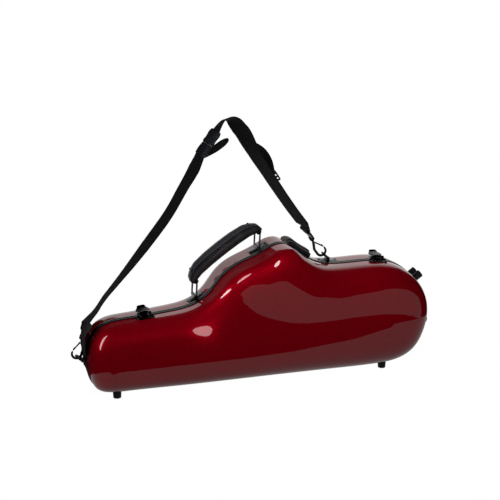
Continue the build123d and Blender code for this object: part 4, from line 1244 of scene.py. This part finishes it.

# %% [markdown]
# ## The strap in its stretches
# Five bands make the strap: the left stretch up to the buckle, the right one from the top of the
# loop down to the hook, the second layer that bulges above the slider, and two loose tails. A band
# turns about its own line as it goes, by the degrees that its table gives.

# %% Straps
eye_reach, hanging_shift = 3.25, 26.0
left_route = [(0.9, 122.5), (9, 131), (23.4, 146), (36, 166), (61.3, 194), (91.4, 229), (124.2, 269),
              (157.5, 311), (181, 352), (204, 388), (214, 411)]
right_route = [(243, 451), (251, 464), (259.5, 472), (272.5, 471.5), (284, 455.5), (292.5, 445),
               (301.5, 427), (315.5, 402), (334, 375), (352, 347), (370, 320.5), (388.5, 294),
               (411.9, 263.6)]
bulge_route = [(306.5, 423), (315, 418.5), (325, 409.5), (332.5, 397), (336.5, 384.5), (338.2, 373)]
top_tail_route = [(218, 409.5), (236, 417), (247, 424), (257, 431), (265, 437)]
left_tail_route = [(7.6, 132.3), (0.4, 125.6), (-5.6, 117.2), (-6.5, 106), (-7, 95), (-6, 80)]
left_path = smooth_route("left_route", left_route, strap_depth)
right_path = smooth_route("right_route", right_route, strap_depth)
bulge_path = smooth_route("bulge_route", bulge_route, strap_depth)
top_tail_path = smooth_route("top_tail_route", top_tail_route, strap_depth)
left_tail_path = smooth_route("left_tail_route", left_tail_route, strap_depth - hanging_shift)
left_turns = ((0.0, 0.06, 0.12, 0.2, 0.29, 0.38, 0.48, 0.6, 0.72, 0.84, 0.93, 1.0),
              (0.0, -5.8, -7.4, -7.0, -3.6, 1.0, 5.4, 6.8, 7.0, 8.5, 13.0, 6.0))
right_turns = ((0.0, 0.1, 0.16, 0.22, 0.3, 0.4, 0.5, 0.7, 0.95, 1.0),
               (0.0, -15.0, -31.0, -37.0, -32.0, -23.0, -21.5, -19.0, -18.0, 0.0))
left_band, left_line, left_length = band_mesh("left_strap_webbing", left_path, ["left_strap"], left_turns)
right_band, right_line, right_length = band_mesh(
    "right_strap_webbing", right_path, ["right_strap"], right_turns)
bulge_band, _, bulge_length = band_mesh(
    "slider_layer_webbing", bulge_path, ["slider_layer"], ((0.0, 1.0), (-24.0, -20.0)))
tail_band, _, tail_length = band_mesh("top_tail_webbing", top_tail_path, ["top_tail"], round_end=True)
hanging_band, _, hanging_length = band_mesh("left_tail_webbing", left_tail_path, ["left_tail"])
print("strap", round(left_length, 3), round(right_length, 3), "m, tails", round(tail_length, 3),
      round(hanging_length, 3), round(bulge_length, 3))
loops = []
for label in ("narrow", "bell"):
    turns = np.linspace(0.3, 2 * math.pi - 0.3, 40)
    ring = to_frame([eye_tops[label] + Vector((math.cos(a), 0.0, math.sin(a))) * eye_reach for a in turns])
    loops.append(band_mesh(label + "_webbing_loop", ring, [])[0])

# %% [markdown]
# ## White ground
# The case was shot on white under large soft boxes. The world and the floor give that white: the
# world shines fully only for the camera and for mirrors. The floor glows a little more with the
# distance, so that it runs into the background without an edge. It is left open in front of the
# case, where the lid comes down when it is opened.

# %% World and floor
world = bpy.data.worlds.new("studio")
bpy.context.scene.world = world
world.use_nodes = True
tree = world.node_tree
sight = add(tree, "ShaderNodeLightPath")
seen = add(tree, "ShaderNodeMath", {0: sight.outputs["Is Camera Ray"], 1: sight.outputs["Is Glossy Ray"]},
           operation="MAXIMUM")
seen = add(tree, "ShaderNodeMath", {0: seen.outputs[0], 1: sight.outputs["Is Transmission Ray"]},
           operation="MAXIMUM")
strength = add(tree, "ShaderNodeMapRange", {0: seen.outputs[0], 3: 0.05, 4: 1.0})
tree.links.new(strength.outputs[0], tree.nodes["Background"].inputs["Strength"])
tree.nodes["Background"].inputs["Color"].default_value = (1, 1, 1, 1)


def hidden(piece, *rays):
    """Hides a piece of the studio from some kinds of rays."""
    for ray in rays:
        setattr(piece, "visible_" + ray, False)
    return piece


def stage_mesh(name, points, faces, finish):
    """A piece of the studio, not of the case."""
    mesh = bpy.data.meshes.new(name)
    mesh.from_pydata(points, [], faces)
    mesh.materials.append(finish)
    made = in_scene(name, mesh)
    return made


floor_paper, tree, shader = new_finish("white_paper_floor", Base_Color=linear("#F7F7F7"), Roughness=0.9)
sight = add(tree, "ShaderNodeLightPath")
seen = add(tree, "ShaderNodeMath", {0: sight.outputs["Is Camera Ray"], 1: 0.9}, operation="MULTIPLY")
apart = add(tree, "ShaderNodeVectorMath", {0: add(tree, "ShaderNodeTexCoord").outputs["Object"]},
            operation="LENGTH")
near, far, near_white, far_white = 0.8, 3.0, 1.06, 1.12
lift = add(tree, "ShaderNodeMapRange", {0: apart.outputs["Value"], 1: near, 2: far, 3: near_white,
                                        4: far_white})
glow = add(tree, "ShaderNodeEmission", {"Strength": lift.outputs[0]})
both = add(tree, "ShaderNodeMixShader", {0: seen.outputs[0], 1: shader.outputs[0], 2: glow.outputs[0]})
tree.links.new(both.outputs[0], tree.nodes["Material Output"].inputs["Surface"])
floor_x, floor_y, opening = (-8.0, -0.8, 0.8, 8.0), (-8.0, -0.95, -0.004, 8.0), 4
floor_points = [(x, y, 0.0) for y in floor_y for x in floor_x]
floor_faces = [face for number, face in enumerate(grid_faces(4, 4)) if number != opening]
hidden(stage_mesh("floor", floor_points, floor_faces, floor_paper), "glossy", "diffuse")
print("floor of", len(floor_faces), "faces")

# %% [markdown]
# ## What the lacquer mirrors
# Red lacquer mirrors whatever stands round it. A black tent keeps the shells deep red: without it
# they would wash out to pink. Inside the tent hang pale cards that only reflections see. Their edges
# are drawn so that the mirror images end where the bright areas of the photograph end: a sweep round
# the foot of the case, a panel in front of the lid, and two cards behind for the back shell.

# %% Card helpers
def card(name, points, faces, glow):
    """Card with an even glow and no shade of its own, for mirror reflections only."""
    cloth = new_finish(name + "_cloth", Base_Color=(0, 0, 0, 1), Roughness=1.0, Specular_IOR_Level=0.0,
                       Emission_Color=(1, 1, 1, 1), Emission_Strength=glow)[0]
    return hidden(stage_mesh(name, points, faces, cloth), "camera", "diffuse", "transmission", "shadow")


def far_point(turn, rise, radius):
    """Point of the studio at a turn from the front and a rise, in degrees."""
    turn, rise = math.radians(turn), math.radians(rise)
    return (radius * math.cos(rise) * math.sin(turn), -radius * math.cos(rise) * math.cos(turn),
            0.12 + radius * math.sin(rise))


def sky_card(name, lower, upper, glow, radius):
    """Card all round the case between two edges, each a table of turns and rises."""
    points = []
    for step in np.linspace(0, 1, 9):
        for turn in np.linspace(-180, 180, 121):
            low, high = np.interp(turn, *lower), np.interp(turn, *upper)
            points.append(far_point(turn, low + (high - low) * step, radius))
    return card(name, points, grid_faces(9, 121), glow)


def flat_card(name, y, corners, glow):
    """Upright card square to Y; the corners of its outline are cut twice, so that it turns smoothly."""
    corners = np.array(corners)
    for _ in range(2):
        after = np.roll(corners, -1, axis=0)
        corners = np.stack([0.75 * corners + 0.25 * after, 0.25 * corners + 0.75 * after], 1).reshape(-1, 2)
    return card(name, [(x, y, z) for x, z in corners], [tuple(range(len(corners)))], glow)


print("card helpers ready")

# %% [markdown]
# ## Tent and cards
# Turns and rises are degrees as seen from the case, and corners are metres across and up. The tent
# and the sweep go all the way round; the panel hangs 35 cm in front, and two cards 30 cm behind.

# %% Tent and cards
sky_card("black_tent", ((-180, 180), (-90, -90)), ((-180, 180), (90, 90)), 0.0, 6.0)
sky_card("pale_sweep", ((-180, 180), (-90, -90)),
         ((-180, -106, -72, -19, -3, 4, 9, 15.6, 18.5, 20.5, 22.1, 23.6, 28, 31, 180),
          (-25, -25.4, -23.9, -22.9, -23.9, -27.8, -26.5, -28.6, -28, -26.3, -23.1, -18.9, -19.2, -18.5,
           -18.5)), 0.42, 5.0)
flat_card("front_panel", -0.35, [
    (-0.115, 0.252), (-0.08, 0.268), (-0.060, 0.286), (-0.045, 0.288), (-0.028, 0.271), (-0.008, 0.252),
    (0.008, 0.236), (0.018, 0.216), (0.033, 0.193), (0.058, 0.173), (0.080, 0.158), (0.096, 0.145),
    (0.112, 0.133), (0.136, 0.119), (0.165, 0.111), (0.195, 0.112), (0.214, 0.125), (0.230, 0.142),
    (0.242, 0.163), (0.252, 0.184), (0.285, 0.203), (0.312, 0.224), (0.350, 0.247), (0.40, 0.262),
    (0.47, 0.272), (0.54, 0.289), (0.61, 0.303), (0.70, 0.303), (0.80, 0.290), (1.2, 0.24), (1.2, -0.25),
    (0.80, -0.112), (0.70, -0.066), (0.60, -0.034), (0.53, -0.013), (0.50, -0.002), (0.46, 0.010),
    (0.42, 0.019), (0.395, 0.033), (0.365, 0.044), (0.33, 0.049), (0.28, 0.041), (0.231, 0.031),
    (0.175, 0.022), (0.118, 0.022), (0.082, 0.036), (0.054, 0.050), (0.039, 0.064), (0.025, 0.078),
    (0.011, 0.092), (-0.004, 0.107), (-0.018, 0.122), (-0.033, 0.141), (-0.047, 0.163), (-0.061, 0.188),
    (-0.075, 0.207), (-0.092, 0.224), (-0.112, 0.240)], 0.40)
back_edge = [
    (-0.30, 0.236), (-0.24, 0.238), (-0.19, 0.240), (-0.178, 0.246), (-0.168, 0.262), (-0.158, 0.280),
    (-0.14, 0.294), (-0.13, 0.299), (-0.12, 0.305), (-0.11, 0.312), (-0.10, 0.319), (-0.085, 0.328),
    (-0.07, 0.334), (-0.05, 0.336), (-0.03, 0.346), (-0.01, 0.350), (0.01, 0.360), (0.03, 0.392),
    (0.12, 0.40), (0.17, 0.39), (0.22, 0.40), (0.26, 0.42), (0.34, 0.43), (0.42, 0.42),
    (0.50, 0.40), (0.56, 0.36), (0.62, 0.33)]
back_points = [(x, 0.3, z) for x, z in back_edge] + [(x, 0.3, 0.02) for x, _ in back_edge]
card("back_card", back_points, grid_faces(2, len(back_edge)), 0.9)
flat_card("back_card_fade", 0.3, [(0.20, 0.40), (0.30, 0.42), (0.42, 0.42), (0.54, 0.37), (0.60, 0.44),
                                  (0.48, 0.54), (0.34, 0.54), (0.24, 0.50)], 0.4)
print("tent and cards")

# %% [markdown]
# ## Streaks and soft light
# The bright streaks on the shoulder and on the narrow end are small bare lamps close to the lacquer,
# which are seen in it and nowhere else. The soft lamps light what is matt: webbing, leather, plush
# and the red itself. The cards stand for their mirror images.

# %% Lamps
def area_lamp(name, shape, size, power):
    """Flat lamp of a shape and a size in metres."""
    data = bpy.data.lights.new(name, "AREA")
    data.shape = shape
    data.size, data.size_y = size
    data.energy = power
    return in_scene(name, data)


def near_lamp(name, middle, along, toward, size, glow):
    """Small oval lamp close to the lacquer, seen in it only as a bright streak."""
    area = math.pi * size[0] * size[1] / 4
    made = area_lamp(name, "ELLIPSE", size, glow * math.pi * area)
    away = -Vector(toward).normalized()
    side = (Vector(along) - away * away.dot(Vector(along))).normalized()
    turned = Matrix((side, away.cross(side), away)).transposed()
    made.matrix_world = Matrix.Translation(middle) @ turned.to_4x4()
    return hidden(made, "camera", "diffuse", "transmission")


def soft_lamp(name, turn, rise, distance, size, power, aim=(0.0, 0.0, 0.12)):
    """Rectangular lamp at a turn and a rise from what it is aimed at, without a mirror image."""
    made = area_lamp(name, "RECTANGLE", size, power)
    turn, rise = math.radians(turn), math.radians(rise)
    way = Vector((math.sin(turn) * math.cos(rise), -math.cos(turn) * math.cos(rise), math.sin(rise)))
    made.location = Vector(aim) + way * distance
    made.rotation_euler = (-way).to_track_quat("-Z", "Y").to_euler()
    return hidden(made, "glossy")


near_lamp("low_streak", (-0.114, -0.049, 0.207), (0.38, -0.77, 0.52), (0.81, 0.00, -0.59),
          (0.044, 0.012), 16.0)
near_lamp("middle_streak", (-0.064, -0.071, 0.246), (0.87, -0.02, 0.49), (0.47, 0.36, -0.81),
          (0.050, 0.016), 9.0)
near_lamp("high_streak", (-0.003, -0.103, 0.280), (0.01, -0.76, -0.65), (0.37, 0.61, -0.70),
          (0.039, 0.015), 14.0)
near_lamp("end_streak", (-0.337, -0.038, 0.140), (0.54, 0.46, 0.71), (0.78, 0.04, -0.62),
          (0.084, 0.014), 8.0)
near_lamp("lens_glow", (-0.119, -0.095, 0.125), (-0.58, 0.25, 0.78), (0.10, 0.97, -0.24),
          (0.048, 0.025), 4.5)
soft_lamp("top_lamp", -5, 38, 2.2, (1.4, 0.8), 14.0)
soft_lamp("left_lamp", -75, 30, 2.2, (0.8, 0.8), 20.0)
soft_lamp("right_lamp", 85, 30, 2.2, (0.8, 0.8), 7.0)
soft_lamp("back_lamp", 175, 40, 2.2, (1.0, 0.8), 9.0)
soft_lamp("body_lamp", -8, 42, 0.42, (0.25, 0.12), 0.65, (-0.10, -0.06, 0.15))
soft_lamp("bell_lamp", 15, 48, 0.42, (0.25, 0.12), 0.4, (0.13, -0.06, 0.21))
